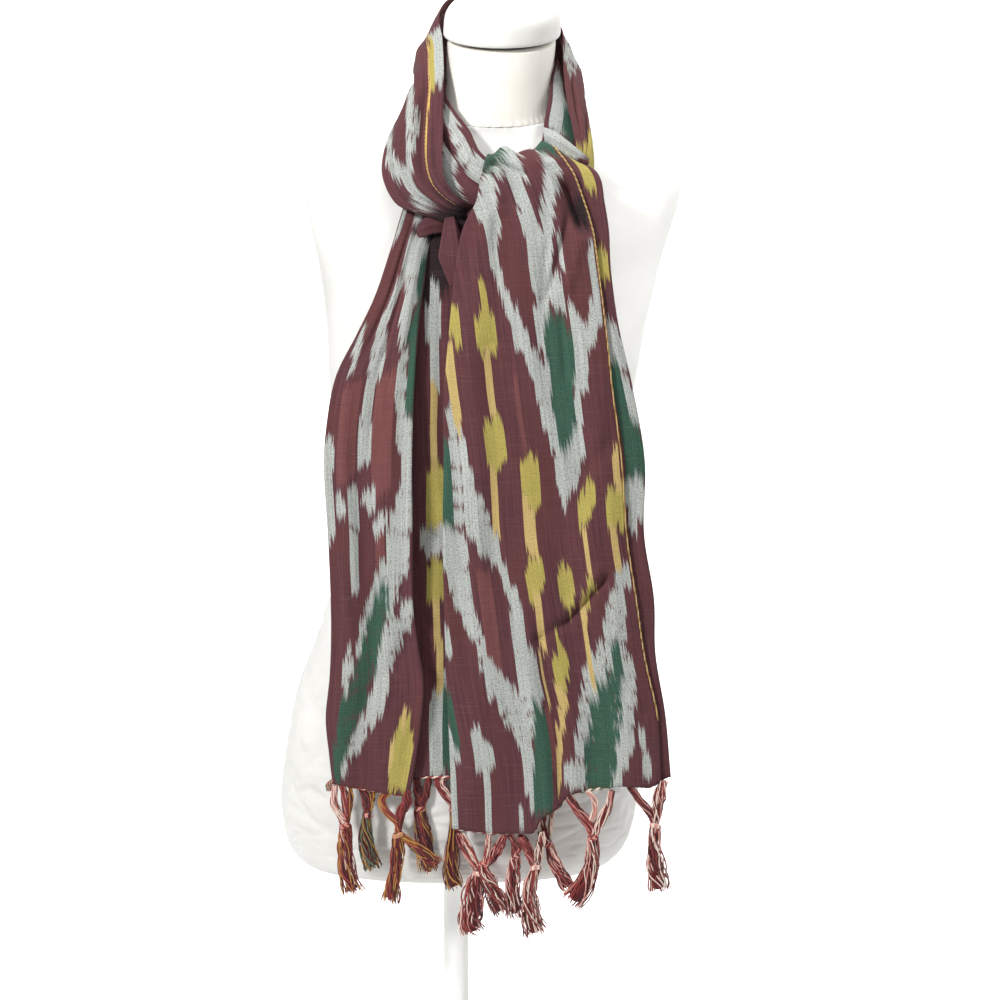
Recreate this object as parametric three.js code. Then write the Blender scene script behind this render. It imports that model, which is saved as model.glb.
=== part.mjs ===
// A handwoven cotton ikat scarf, knotted once round the neck of a white limbless dress form on a short stand.
//
// The scarf goes round the back of the neck. Its left end crosses over the right one, passes behind it, comes
// up at the throat and falls over in front as the wide front tail. The right end comes out below the crossing
// on the left as the left tail. Each stretch that shows is a thin cloth wall of its own, and neighbouring
// stretches stay a seam's width apart.
//
// Millimetres, +Z up, +X to the viewer's right, the wearer's front towards -Y. The origin is the centre of the
// stand's foot, on the surface that it stands on.

import * as THREE from "three";

// ---- driving dimensions ----
const SEAM = 0.3; // clearance between neighbouring pieces
const CLOTH_WALL = 1.4; // one layer of cloth, with its nap and the air between layers
const LAYER_STEP = 4.2; // from one folded layer of cloth to the next
const TURN_POINTS = 3; // points round the bend of a fold
const GROOVE_AT = 0.3; // the crease between a strand's roll and its lobe, as a share of the strand's width
const GROOVE_WIDTH = 0.12;
const HEM_FROM = 0.72; // how far down a tail its hem's slant begins, as a share of its path
const RIDGE_RATE = 3; // a tail's upright ridges reach their full height in the first third of its path
const PATH_STEP = 0.01; // a path's direction is read between points this far on either side, as shares of it

const FOOT_RADIUS = 150;
const FOOT_HEIGHT = 14;
const POLE_RADIUS = 13;
const COLLAR_RADIUS = 34;
const COLLAR_HEIGHT = 10;
const FORM_BOTTOM = 240; // height of the torso's underside
const FORM_LEAN = 0.056; // the form leans this much to its left for each millimetre of height
const FORM_SIDES = 36;
const SQUARENESS = 2.3; // exponent of the torso's superellipse sections
const NECK_BASE = 1000; // height of the neck seam above the neck's axis
const NECK_SLOPE = 0.3; // the neck seam falls this much towards the front
const CAP_BASE = 1070;
const CAP_SLOPE = 0.25;
const CAP_RADIUS = 57;
const CAP_MIDDLE = -7; // its seat is this far behind the form's axis (in front where negative)

// ---- tables: a row for each section ----
// Torso, from its underside to the neck seam: half its width, and its depth in front of and behind its axis.
const TORSO_ROWS = [
  { z: 240, half: 132, front: 70, back: 80, slope: 0 },
  { z: 247, half: 154, front: 85, back: 97, slope: 0 },
  { z: 264, half: 170, front: 95, back: 110, slope: 0 },
  { z: 290, half: 178, front: 100, back: 118, slope: 0 },
  { z: 325, half: 181, front: 101, back: 121, slope: 0 },
  { z: 370, half: 178, front: 101, back: 118, slope: 0 },
  { z: 430, half: 168, front: 98, back: 107, slope: 0 },
  { z: 500, half: 146, front: 88, back: 91, slope: 0 },
  { z: 570, half: 127, front: 80, back: 79, slope: 0 },
  { z: 640, half: 134, front: 86, back: 81, slope: 0 },
  { z: 700, half: 146, front: 97, back: 86, slope: 0 },
  { z: 750, half: 153, front: 101, back: 91, slope: 0 },
  { z: 800, half: 159, front: 94, back: 95, slope: 0 },
  { z: 850, half: 168, front: 82, back: 97, slope: 0 },
  { z: 900, half: 180, front: 69, back: 93, slope: 0 },
  { z: 932, half: 182, front: 61, back: 84, slope: 0.02 },
  { z: 950, half: 160, front: 57, back: 78, slope: 0.06 },
  { z: 968, half: 122, front: 54, back: 73, slope: 0.12 },
  { z: 985, half: 84, front: 52, back: 66, slope: 0.22 },
  { z: NECK_BASE - SEAM, half: 62, front: 53, back: 58, slope: NECK_SLOPE },
];
// Neck, from its seam to the groove under the cap.
const NECK_ROWS = [
  { z: NECK_BASE, half: 58, front: 54, back: 54, slope: NECK_SLOPE },
  { z: 1010, half: 54, front: 54, back: 50, slope: NECK_SLOPE },
  { z: 1032, half: 52.5, front: 56, back: 47, slope: 0.28 },
  { z: CAP_BASE - 6, half: 53, front: 60, back: 46, slope: CAP_SLOPE },
  { z: CAP_BASE - 2, half: 52, front: 59, back: 45, slope: CAP_SLOPE },
  { z: CAP_BASE - SEAM, half: 47, front: 54, back: 40, slope: CAP_SLOPE },
];
// Neck cap, a turned dome over a narrower spigot: height over its seat, and radius.
const CAP_ROWS = [
  { rise: 0, radius: 46 },
  { rise: 2.6, radius: 46 },
  { rise: 3, radius: 53.5 },
  { rise: 5, radius: 56.4 },
  { rise: 10, radius: CAP_RADIUS },
  { rise: 24, radius: 56 },
  { rise: 34, radius: 50 },
  { rise: 41, radius: 38 },
  { rise: 45, radius: 18 },
];
// Front tail. Its path starts behind the throat, turns over at the top and falls to the hem. edge is the place
// of the free selvedge of the top layer, as a share of the width, and crest how much of the top's waves a row
// takes.
const FRONT_TAIL_ROWS = [
  { y: -76, z: 944, left: 42, right: 100, edge: 0.9, crest: 0.4 },
  { y: -77, z: 955, left: 38, right: 101, edge: 0.9, crest: 0.9 },
  { y: -84, z: 962, left: 37, right: 101, edge: 0.91, crest: 1 },
  { y: -97, z: 962, left: 35, right: 104, edge: 0.88, crest: 0.8 },
  { y: -108, z: 954, left: 32, right: 126, edge: 0.78, crest: 0.4 },
  { y: -115, z: 939, left: 29, right: 137, edge: 0.84, crest: 0.1 },
  { y: -120, z: 915, left: 25, right: 141, edge: 0.9, crest: 0 },
  { y: -124, z: 888, left: 20, right: 145, edge: 0.94, crest: 0 },
  { y: -128, z: 850, left: 9, right: 148, edge: 0.965, crest: 0 },
  { y: -131, z: 800, left: 0, right: 155, edge: 0.97, crest: 0 },
  { y: -133, z: 740, left: -5, right: 168, edge: 0.95, crest: 0 },
  { y: -132, z: 670, left: -6, right: 180, edge: 0.945, crest: 0 },
  { y: -130, z: 600, left: -7, right: 186, edge: 0.945, crest: 0 },
  { y: -128, z: 535, left: -6, right: 193, edge: 0.955, crest: 0 },
  { y: -126, z: 477, left: -4, right: 197, edge: 0.975, crest: 0 },
  { y: -125, z: 415, left: -1, right: 206, edge: 0.965, crest: 0 },
  { y: -124, z: 352, left: 1, right: 208, edge: 0.975, crest: 0 },
];
// Waves of the top fold, and how far the hem hangs below the last row, across the width from left to right.
const FRONT_CREST = [
  { share: 0, drop: 5 },
  { share: 0.22, drop: -2 },
  { share: 0.4, drop: 2 },
  { share: 0.62, drop: 2 },
  { share: 0.74, drop: -6 },
  { share: 0.9, drop: 0 },
  { share: 1, drop: 6 },
];
const FRONT_HEM = [
  { share: 0, drop: 41 },
  { share: 0.17, drop: 46 },
  { share: 0.37, drop: 45 },
  { share: 0.41, drop: 29 },
  { share: 0.49, drop: 20 },
  { share: 0.53, drop: 7 },
  { share: 0.63, drop: 3 },
  { share: 0.78, drop: -2 },
  { share: 0.91, drop: 0 },
  { share: 1, drop: -9 },
];
const LEFT_TAIL_ROWS = [
  { y: -79, z: 905, left: -46, right: -16 },
  { y: -90, z: 889, left: -53, right: -20 },
  { y: -103, z: 868, left: -59, right: -25 },
  { y: -112, z: 826, left: -72, right: -31 },
  { y: -118, z: 790, left: -88, right: -35 },
  { y: -122, z: 750, left: -109, right: -38 },
  { y: -124, z: 705, left: -120, right: -40 },
  { y: -124, z: 660, left: -123, right: -41 },
  { y: -122, z: 600, left: -120, right: -41 },
  { y: -121, z: 535, left: -121, right: -41 },
  { y: -120, z: 495, left: -119, right: -37 },
  { y: -119, z: 456, left: -120, right: -31 },
  { y: -118, z: 416, left: -123, right: -34 },
  { y: -117, z: 378, left: -119, right: -40 },
  { y: -116, z: 349, left: -115, right: -46 },
];
const LEFT_HEM = [
  { share: 0, drop: -4 },
  { share: 1, drop: 8 },
];
const INNER_TAIL_ROWS = [
  { y: -87, z: 903, left: -10, right: 18 },
  { y: -92, z: 884, left: -14, right: 17 },
  { y: -97, z: 850, left: -34, right: 20 },
  { y: -104, z: 800, left: -52, right: 30 },
  { y: -108, z: 740, left: -62, right: 34 },
  { y: -110, z: 660, left: -66, right: 36 },
  { y: -109, z: 570, left: -68, right: 38 },
  { y: -108, z: 480, left: -70, right: 40 },
  { y: -108, z: 410, left: -70, right: 42 },
  { y: -108, z: 358, left: -70, right: 44 },
];
const LEVEL = [
  { share: 0, drop: 0 },
  { share: 1, drop: 0 },
];
const TUCK_ROWS = [
  { y: -101, z: 884, left: -8, right: 10 },
  { y: -106, z: 876, left: -10, right: 12 },
  { y: -112, z: 862, left: -9, right: 11 },
  { y: -114, z: 848, left: -5, right: 9 },
  { y: -116, z: 832, left: 0, right: 7 },
];
// Strands: the edge nearest the neck (in), the folded edge away from it (out), and how far the cloth bellies
// out. groove is the depth of the crease that parts its inner roll from its outer lobe.
// Every strand runs the same way round the neck, so that its hidden layers lie on the neck's side of it.
// The collar runs from the throat up the left of the neck, round the back and down the right to the throat.
const COLLAR_ROWS = [
  { inX: 26, inY: -104, inZ: 901, outX: 24, outY: -103, outZ: 889, belly: 2, groove: 0 },
  { inX: 6, inY: -106, inZ: 908, outX: -6, outY: -102, outZ: 887, belly: 4, groove: 1 },
  { inX: -6, inY: -103, inZ: 924, outX: -36, outY: -96, outZ: 892, belly: 7, groove: 3 },
  { inX: -9, inY: -95, inZ: 944, outX: -55, outY: -87, outZ: 907, belly: 9, groove: 5 },
  { inX: -9, inY: -80, inZ: 972, outX: -66, outY: -74, outZ: 936, belly: 11, groove: 6 },
  { inX: -9, inY: -62, inZ: 1004, outX: -63, outY: -60, outZ: 970, belly: 12, groove: 7 },
  { inX: -9, inY: -42, inZ: 1036, outX: -51, outY: -42, outZ: 996, belly: 12, groove: 5 },
  { inX: -11, inY: -16, inZ: 1068, outX: -41, outY: -20, outZ: 1006, belly: 12, groove: 3 },
  { inX: -15, inY: 8, inZ: 1091, outX: -39, outY: 10, outZ: 1005, belly: 11, groove: 1 },
  { inX: -5, inY: 36, inZ: 1109, outX: -34, outY: 40, outZ: 1002, belly: 8, groove: 0 },
  { inX: 19, inY: 60, inZ: 1108, outX: -14, outY: 65.3, outZ: 993, belly: 6, groove: 0 },
  { inX: 47, inY: 69, inZ: 1100, outX: 44, outY: 80.2, outZ: 986, belly: 6, groove: 0 },
  { inX: 78, inY: 58, inZ: 1094, outX: 104, outY: 65.3, outZ: 992, belly: 6, groove: 0 },
  { inX: 100, inY: 32, inZ: 1087, outX: 126, outY: 40, outZ: 1002, belly: 4, groove: 0 },
  { inX: 105, inY: 4, inZ: 1073, outX: 128, outY: 6, outZ: 1004, belly: 4, groove: 0 },
  { inX: 106, inY: -24, inZ: 1044, outX: 131, outY: -26, outZ: 990, belly: 5, groove: 1 },
  { inX: 109, inY: -46, inZ: 1010, outX: 134, outY: -49, outZ: 972, belly: 5, groove: 2 },
  { inX: 114, inY: -64, inZ: 984, outX: 135, outY: -66, outZ: 955, belly: 4, groove: 1 },
  { inX: 117, inY: -76, inZ: 963, outX: 133, outY: -76, outZ: 941, belly: 3, groove: 0 },
  { inX: 115, inY: -84, inZ: 948, outX: 128, outY: -82, outZ: 928, belly: 2, groove: 0 },
];
const COLLAR_CUTS = [0, 0.455, 0.7, 1]; // where the collar's three stretches part
const COLLAR_STEPS = 44;
const COLLAR_GAP = 0.0004; // half of the clearance at a cut, as a share of the collar's length
const CROSSING_ROWS = [
  { inX: 108, inY: -89, inZ: 934, outX: 100, outY: -93, outZ: 900, belly: 1, groove: 0 },
  { inX: 80, inY: -91, inZ: 938, outX: 66, outY: -94, outZ: 898, belly: 1, groove: 0 },
  { inX: 50, inY: -91, inZ: 944, outX: 34, outY: -94, outZ: 898, belly: 2, groove: 0 },
  { inX: 27, inY: -86.5, inZ: 960, outX: 8, outY: -90, outZ: 902, belly: 3, groove: 0 },
  { inX: 16, inY: -74, inZ: 981, outX: -16, outY: -77, outZ: 920, belly: 3, groove: 0 },
  { inX: 3, inY: -60, inZ: 998, outX: -28, outY: -64, outZ: 942, belly: 3, groove: 0 },
  { inX: -7, inY: -42, inZ: 1014, outX: -33, outY: -50, outZ: 968, belly: 2, groove: 0 },
  { inX: -7.2, inY: -17.4, inZ: 1030, outX: -32, outY: -28, outZ: 994, belly: 1, groove: 0 },
  { inX: -12.5, inY: -2, inZ: 1046, outX: -28, outY: -4, outZ: 1012, belly: 0, groove: 0 },
];
const RIGHT_INNER_ROWS = [
  { inX: 101, inY: -6, inZ: 1050, outX: 108, outY: -6, outZ: 1034, belly: 0, groove: 0 },
  { inX: 95, inY: -23.5, inZ: 1034, outX: 111, outY: -24, outZ: 1012, belly: 0, groove: 0 },
  { inX: 92, inY: -40, inZ: 1012, outX: 120, outY: -42, outZ: 988, belly: 1, groove: 0 },
  { inX: 88, inY: -54, inZ: 992, outX: 120, outY: -55, outZ: 968, belly: 1, groove: 0 },
  { inX: 86, inY: -65, inZ: 976, outX: 117, outY: -66, outZ: 954, belly: 1, groove: 0 },
  { inX: 84, inY: -72, inZ: 966, outX: 110, outY: -74, outZ: 942, belly: 0, groove: 0 },
];
const WRAP_ROWS = [
  { inX: 129, inY: -90, inZ: 955, outX: 129, outY: -92, outZ: 951, belly: 0, groove: 0 },
  { inX: 120, inY: -90, inZ: 962, outX: 120, outY: -95, outZ: 955, belly: 2, groove: 0 },
  { inX: 110, inY: -90, inZ: 970, outX: 110, outY: -97, outZ: 959, belly: 3, groove: 0 },
  { inX: 98, inY: -88, inZ: 979, outX: 98, outY: -96, outZ: 966, belly: 3, groove: 0 },
  { inX: 86, inY: -83, inZ: 984, outX: 87, outY: -88, outZ: 973, belly: 1, groove: 0 },
];
const UNDER_CROSS_ROWS = [
  { inX: 120, inY: -67.5, inZ: 934, outX: 124, outY: -71.5, outZ: 912, belly: 0, groove: 0 },
  { inX: 90, inY: -68.5, inZ: 932, outX: 92, outY: -73.5, outZ: 900, belly: 0, groove: 0 },
  { inX: 55, inY: -68.5, inZ: 930, outX: 52, outY: -73.5, outZ: 892, belly: 0, groove: 0 },
  { inX: 22, inY: -67.5, inZ: 926, outX: 12, outY: -72.5, outZ: 890, belly: 0, groove: 0 },
  { inX: -6, inY: -66.5, inZ: 922, outX: -14, outY: -70.5, outZ: 894, belly: 0, groove: 0 },
];

// Tassels, knotted from the warp ends: where the two cords leave the hem, the knot, and the tip. yarn names the
// colour.
const TASSELS = [
  { hemX: -106, z: 350.2, y: -116, spread: 9, knotX: -104, knotZ: 309, tipX: -88, tipZ: 243, yarn: "red" },
  { hemX: -84, z: 346.8, y: -111.5, spread: 7, knotX: -80, knotZ: 318, tipX: -72, tipZ: 262, yarn: "green" },
  { hemX: -58, z: 341, y: -116, spread: 11, knotX: -54, knotZ: 300, tipX: -62, tipZ: 231, yarn: "gold" },
  { hemX: -42, z: 358, y: -107, spread: 6, knotX: -40, knotZ: 322, tipX: -30, tipZ: 256, yarn: "red" },
  { hemX: -14, z: 358, y: -106, spread: 9, knotX: -6, knotZ: 326, tipX: 2, tipZ: 258, yarn: "gold" },
  { hemX: 12, z: 308.6, y: -124, spread: 9, knotX: 22, knotZ: 267, tipX: 30, tipZ: 204, yarn: "red" },
  { hemX: 36, z: 305.6, y: -124, spread: 9, knotX: 42, knotZ: 279, tipX: 46, tipZ: 226, yarn: "red" },
  { hemX: 58, z: 306.6, y: -120.6, spread: 8, knotX: 61, knotZ: 282, tipX: 62, tipZ: 222, yarn: "red" },
  { hemX: 80, z: 307.2, y: -124, spread: 9, knotX: 80, knotZ: 271, tipX: 86, tipZ: 200, yarn: "red" },
  { hemX: 98, z: 328, y: -115.4, spread: 4, knotX: 103, knotZ: 282, tipX: 116, tipZ: 236, yarn: "red" },
  { hemX: 132, z: 341.6, y: -126.6, spread: 17, knotX: 134, knotZ: 298, tipX: 120, tipZ: 232, yarn: "red" },
  { hemX: 187, z: 353, y: -124, spread: 17, knotX: 195, knotZ: 312, tipX: 199, tipZ: 246, yarn: "red" },
];
const TASSEL_ROWS = [
  { along: 0, wide: 1, deep: 1.6, below: false },
  { along: 0.5, wide: 0.55, deep: 2.6, below: false },
  { along: 0.92, wide: 0.3, deep: 4, below: false },
  { along: 0.1, wide: 4.4, deep: 4.2, below: true },
  { along: 0.55, wide: 6.2, deep: 5, below: true },
  { along: 0.9, wide: 7.6, deep: 5.4, below: true },
  { along: 1, wide: 5.5, deep: 4, below: true },
];
const TASSEL_SIDES = 8;

// ---- colours ----
const CLOTH = { maroon: 0x6e4145, shade: 0x5a363b, grey: 0x9aa39e };
const YARN = { red: 0x7e2c31, green: 0x4c5a4a, gold: 0xa8783a };
const COVER = 0xf1f0ec;
const NECK_COVER = 0xefeadd;
const LACQUER = 0xe9e8e4;

// ---- working out ----
/** A table's row between two rows: each number follows a smooth Catmull-Rom curve. t runs from 0 to 1. */
function rowAt(table, t) {
  const at = t * (table.length - 1);
  const i = Math.min(Math.floor(at), table.length - 2);
  const f = at - i;
  const row = {};
  for (const key of Object.keys(table[0])) {
    const b = table[i][key];
    const c = table[i + 1][key];
    const a = i > 0 ? table[i - 1][key] : 2 * b - c;
    const d = i + 2 < table.length ? table[i + 2][key] : 2 * c - b;
    row[key] = b + 0.5 * f * (c - a + f * (2 * a - 5 * b + 4 * c - d + f * (3 * (b - c) + d - a)));
  }
  return row;
}

/** A value from a table of shares, straight from one row to the next. */
function shareAt(table, share, column) {
  const next = table.findIndex((row) => row.share >= share);
  if (next <= 0) return table[next < 0 ? table.length - 1 : 0][column];
  const [a, b] = [table[next - 1], table[next]];
  return a[column] + ((b[column] - a[column]) * (share - a.share)) / (b.share - a.share);
}

/**
 * The line of a cloth folded flat, as {x, depth} in millimetres. The folds name their stops, as shares of the
 * width, and for each layer between two stops its level, counted from the front, and its number of points. At
 * each stop the line turns through half a circle from one level to the next.
 */
function foldLine(width, { stops, levels, points, step = LAYER_STEP }) {
  const line = [];
  for (let layer = 0; layer < levels.length; layer++) {
    const [from, to] = [stops[layer] * width, stops[layer + 1] * width];
    const depth = levels[layer] * step;
    for (let i = 0; i < points[layer]; i++) {
      line.push({ x: from + ((to - from) * i) / (points[layer] - 1), depth });
    }
    if (layer + 1 === levels.length) break;
    const radius = ((levels[layer + 1] - levels[layer]) * step) / 2;
    const reach = Math.sign(to - from) * Math.abs(radius);
    for (let i = 1; i <= TURN_POINTS; i++) {
      const angle = (Math.PI * i) / (TURN_POINTS + 1);
      line.push({ x: to + reach * Math.sin(angle), depth: depth + radius * (1 - Math.cos(angle)) });
    }
  }
  return line;
}

/** A closed wall of cloth on both sides of a grid of points, each moved out along the grid's own normal. */
function clothWall(grid, wall = CLOTH_WALL) {
  const rows = grid.length;
  const cols = grid[0].length;
  const across = new THREE.Vector3();
  const along = new THREE.Vector3();
  const points = [];
  for (const side of [-1, 1]) {
    for (let j = 0; j < rows; j++) {
      for (let i = 0; i < cols; i++) {
        across.subVectors(grid[j][Math.min(i + 1, cols - 1)], grid[j][Math.max(i - 1, 0)]);
        along.subVectors(grid[Math.min(j + 1, rows - 1)][i], grid[Math.max(j - 1, 0)][i]);
        const normal = across.clone().cross(along).normalize();
        points.push(grid[j][i].clone().addScaledVector(normal, (side * wall) / 2));
      }
    }
  }
  const near = (j, i) => j * cols + i;
  const far = (j, i) => rows * cols + j * cols + i;
  const faces = [];
  const quad = (a, b, c, d) => faces.push(a, b, c, a, c, d);
  for (let j = 0; j + 1 < rows; j++) {
    for (let i = 0; i + 1 < cols; i++) {
      quad(far(j, i), far(j, i + 1), far(j + 1, i + 1), far(j + 1, i));
      quad(near(j, i), near(j + 1, i), near(j + 1, i + 1), near(j, i + 1));
    }
    quad(near(j, 0), far(j, 0), far(j + 1, 0), near(j + 1, 0));
    quad(near(j, cols - 1), near(j + 1, cols - 1), far(j + 1, cols - 1), far(j, cols - 1));
  }
  for (let i = 0; i + 1 < cols; i++) {
    quad(near(0, i), near(0, i + 1), far(0, i + 1), far(0, i));
    quad(near(rows - 1, i), far(rows - 1, i), far(rows - 1, i + 1), near(rows - 1, i + 1));
  }
  return solid(points, faces);
}

/** A closed body through rings of points, with a flat cap at each end. */
function ringBody(rings) {
  const n = rings[0].length;
  const points = rings.flat();
  const faces = [];
  for (let j = 0; j + 1 < rings.length; j++) {
    for (let i = 0; i < n; i++) {
      const [a, b] = [j * n + i, j * n + ((i + 1) % n)];
      faces.push(a, b, b + n, a, b + n, a + n);
    }
  }
  const last = (rings.length - 1) * n;
  for (let i = 1; i + 1 < n; i++) faces.push(0, i + 1, i, last, last + i, last + i + 1);
  return solid(points, faces);
}

/** A geometry of points and faces, turned so that its faces point out. */
function solid(points, faces) {
  let volume = 0;
  for (let f = 0; f < faces.length; f += 3) {
    const [a, b, c] = [points[faces[f]], points[faces[f + 1]], points[faces[f + 2]]];
    volume += a.dot(b.clone().cross(c));
  }
  const index = volume > 0 ? faces : faces.slice().reverse();
  const geometry = new THREE.BufferGeometry().setFromPoints(points);
  geometry.setIndex(index);
  geometry.computeVertexNormals();
  return geometry;
}

/** A level ring of the form: two half superellipses on the leaning axis, tilted about X by slope. */
function formRing({ z, half, front, back, slope }) {
  const ring = [];
  for (let i = 0; i < FORM_SIDES; i++) {
    const angle = (2 * Math.PI * i) / FORM_SIDES;
    const [c, s] = [Math.cos(angle), Math.sin(angle)];
    const x = Math.sign(c) * half * Math.abs(c) ** (2 / SQUARENESS);
    const y = Math.sign(s) * (s < 0 ? front : back) * Math.abs(s) ** (2 / SQUARENESS);
    ring.push(new THREE.Vector3(x + (z - FORM_BOTTOM) * FORM_LEAN, y, z + slope * y));
  }
  return ring;
}

/** A round ring of the neck cap, on the neck's tilted axis. */
function capRing({ rise, radius }) {
  const z = CAP_BASE + rise;
  const ring = [];
  for (let i = 0; i < FORM_SIDES; i++) {
    const angle = (2 * Math.PI * i) / FORM_SIDES;
    const x = radius * Math.cos(angle) + (z - FORM_BOTTOM) * FORM_LEAN;
    const y = radius * Math.sin(angle) + CAP_MIDDLE;
    ring.push(new THREE.Vector3(x, y - CAP_SLOPE * rise, z + CAP_SLOPE * y));
  }
  return ring;
}

/** Soft upright ridges of a hanging tail: how far back a point of it stands. */
function hangingFold(share, t, ridges) {
  let depth = 0;
  for (const { at, drift, width, rise } of ridges) {
    const off = (share - at - drift * t) / width;
    depth -= rise * Math.min(1, RIDGE_RATE * t) * Math.exp(-off * off);
  }
  return depth;
}

/** A tail that hangs: level sections, folded to and fro between its left and right edges. */
function hangingTail({ rows, foldsOf, steps, hem = LEVEL, crest = LEVEL, ridges = [] }) {
  const grid = [];
  for (let j = 0; j < steps; j++) {
    const t = j / (steps - 1);
    const row = rowAt(rows, t);
    const ahead = rowAt(rows, Math.min(1, t + PATH_STEP));
    const behind = rowAt(rows, Math.max(0, t - PATH_STEP));
    const slope = new THREE.Vector2(ahead.y - behind.y, ahead.z - behind.z).normalize();
    const width = row.right - row.left;
    const hang = THREE.MathUtils.smoothstep(t, HEM_FROM, 1);
    grid.push(
      foldLine(width, foldsOf(row)).map(({ x, depth }) => {
        const share = THREE.MathUtils.clamp(x / width, 0, 1);
        const back = depth + hangingFold(share, t, ridges);
        const wave = (row.crest ?? 0) * shareAt(crest, share, "drop");
        const drop = hang * shareAt(hem, share, "drop") + wave;
        return new THREE.Vector3(row.left + x, row.y - slope.y * back, row.z + slope.x * back - drop);
      }),
    );
  }
  return clothWall(grid);
}

/**
 * A strand round the neck: sections from its neck edge to its outer fold, which bellies out, and back behind.
 * from and to pick the stretch of the table that is built.
 */
function strand({ rows, folds, steps, from = 0, to = 1 }) {
  const corner = (t, end) => {
    const row = rowAt(rows, THREE.MathUtils.clamp(t, 0, 1));
    return new THREE.Vector3(row[`${end}X`], row[`${end}Y`], row[`${end}Z`]);
  };
  const grid = [];
  for (let j = 0; j < steps; j++) {
    const t = from + ((to - from) * j) / (steps - 1);
    const inside = corner(t, "in");
    const across = corner(t, "out").sub(inside);
    const width = across.length();
    across.normalize();
    const along = corner(t + PATH_STEP, "in").add(corner(t + PATH_STEP, "out"));
    along.sub(corner(t - PATH_STEP, "in")).sub(corner(t - PATH_STEP, "out")).normalize();
    const inward = across.clone().cross(along).normalize();
    const { belly, groove } = rowAt(rows, t);
    grid.push(
      foldLine(width, folds).map(({ x, depth }) => {
        const share = THREE.MathUtils.clamp(x / width, 0, 1);
        const crease = groove * Math.exp(-(((share - GROOVE_AT) / GROOVE_WIDTH) ** 2));
        const back = depth + crease - belly * Math.sin(Math.PI * share);
        return inside.clone().addScaledVector(across, x).addScaledVector(inward, back);
      }),
    );
  }
  return clothWall(grid);
}

/** A knotted tassel: a flat web from the hem to its knot, then a skirt that widens to the tip. */
function tassel({ hemX, z, y, spread, knotX, knotZ, tipX, tipZ }) {
  const hem = new THREE.Vector3(hemX, y, z - SEAM);
  const knot = new THREE.Vector3(knotX, y, knotZ);
  const tip = new THREE.Vector3(tipX, y, tipZ);
  const rings = TASSEL_ROWS.map(({ along, wide, deep, below }) => {
    const centre = below ? knot.clone().lerp(tip, along) : hem.clone().lerp(knot, along);
    const half = below ? wide : wide * spread;
    const ring = [];
    for (let i = 0; i < TASSEL_SIDES; i++) {
      const angle = (2 * Math.PI * i) / TASSEL_SIDES;
      ring.push(centre.clone().add(new THREE.Vector3(half * Math.cos(angle), deep * Math.sin(angle), 0)));
    }
    return ring;
  });
  return ringBody(rings);
}

/** A turned piece of the stand, from a profile of {r, z}. */
function turned(profile, sides = 48) {
  const points = [{ r: 0, z: profile[0].z }, ...profile, { r: 0, z: profile.at(-1).z }];
  const geometry = new THREE.LatheGeometry(
    points.map(({ r, z }) => new THREE.Vector2(r, z)),
    sides,
  );
  return geometry.rotateX(Math.PI / 2);
}

// ---- the object ----
const scarfOnForm = new THREE.Group();

/** Adds a named piece with its own material. */
function add(name, geometry, color, roughness = 0.9, metalness = 0) {
  const mesh = new THREE.Mesh(geometry, new THREE.MeshStandardMaterial({ color, roughness, metalness }));
  mesh.name = name;
  scarfOnForm.add(mesh);
  return mesh;
}

const POLE_BOTTOM = FOOT_HEIGHT + SEAM;
const COLLAR_BOTTOM = FORM_BOTTOM - SEAM - COLLAR_HEIGHT;

add(
  "stand_foot",
  turned([
    { r: FOOT_RADIUS - 2, z: 0 },
    { r: FOOT_RADIUS, z: 2 },
    { r: FOOT_RADIUS, z: FOOT_HEIGHT - 6 },
    { r: FOOT_RADIUS - 4, z: FOOT_HEIGHT - 2 },
    { r: FOOT_RADIUS - 12, z: FOOT_HEIGHT },
  ]),
  LACQUER,
  0.35,
);
add(
  "stand_pole",
  turned(
    [
      { r: POLE_RADIUS + 7, z: POLE_BOTTOM },
      { r: POLE_RADIUS + 7, z: POLE_BOTTOM + 10 },
      { r: POLE_RADIUS, z: POLE_BOTTOM + 16 },
      { r: POLE_RADIUS, z: COLLAR_BOTTOM - SEAM },
    ],
    24,
  ),
  LACQUER,
  0.35,
);
add(
  "stand_collar",
  turned(
    [
      { r: COLLAR_RADIUS - 10, z: COLLAR_BOTTOM },
      { r: COLLAR_RADIUS, z: COLLAR_BOTTOM + 5 },
      { r: COLLAR_RADIUS, z: COLLAR_BOTTOM + COLLAR_HEIGHT },
    ],
    32,
  ),
  LACQUER,
  0.35,
);
add("form_torso", ringBody(TORSO_ROWS.map(formRing)), COVER);
add("form_neck", ringBody(NECK_ROWS.map(formRing)), NECK_COVER);
add("form_neck_cap", ringBody(CAP_ROWS.map(capRing)), LACQUER, 0.4);

const COLLAR_NAMES = ["scarf_left_drape", "scarf_neck_back", "scarf_right_drape"];
const COLLAR_FOLDS = { stops: [0, 1, 0.1], levels: [0, 1], points: [8, 4] };
COLLAR_NAMES.forEach((name, i) => {
  const from = COLLAR_CUTS[i] + (i > 0 ? COLLAR_GAP : 0);
  const to = COLLAR_CUTS[i + 1] - (i < 2 ? COLLAR_GAP : 0);
  const steps = Math.ceil(COLLAR_STEPS * (to - from)) + 1;
  add(name, strand({ rows: COLLAR_ROWS, folds: COLLAR_FOLDS, steps, from, to }), CLOTH.maroon);
});
const singleLayer = (points) => ({ stops: [0, 1], levels: [0], points: [points] });
add("scarf_crossing", strand({ rows: CROSSING_ROWS, folds: singleLayer(6), steps: 13 }), CLOTH.grey);
add("scarf_right_inner", strand({ rows: RIGHT_INNER_ROWS, folds: singleLayer(5), steps: 10 }), CLOTH.grey);
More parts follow.
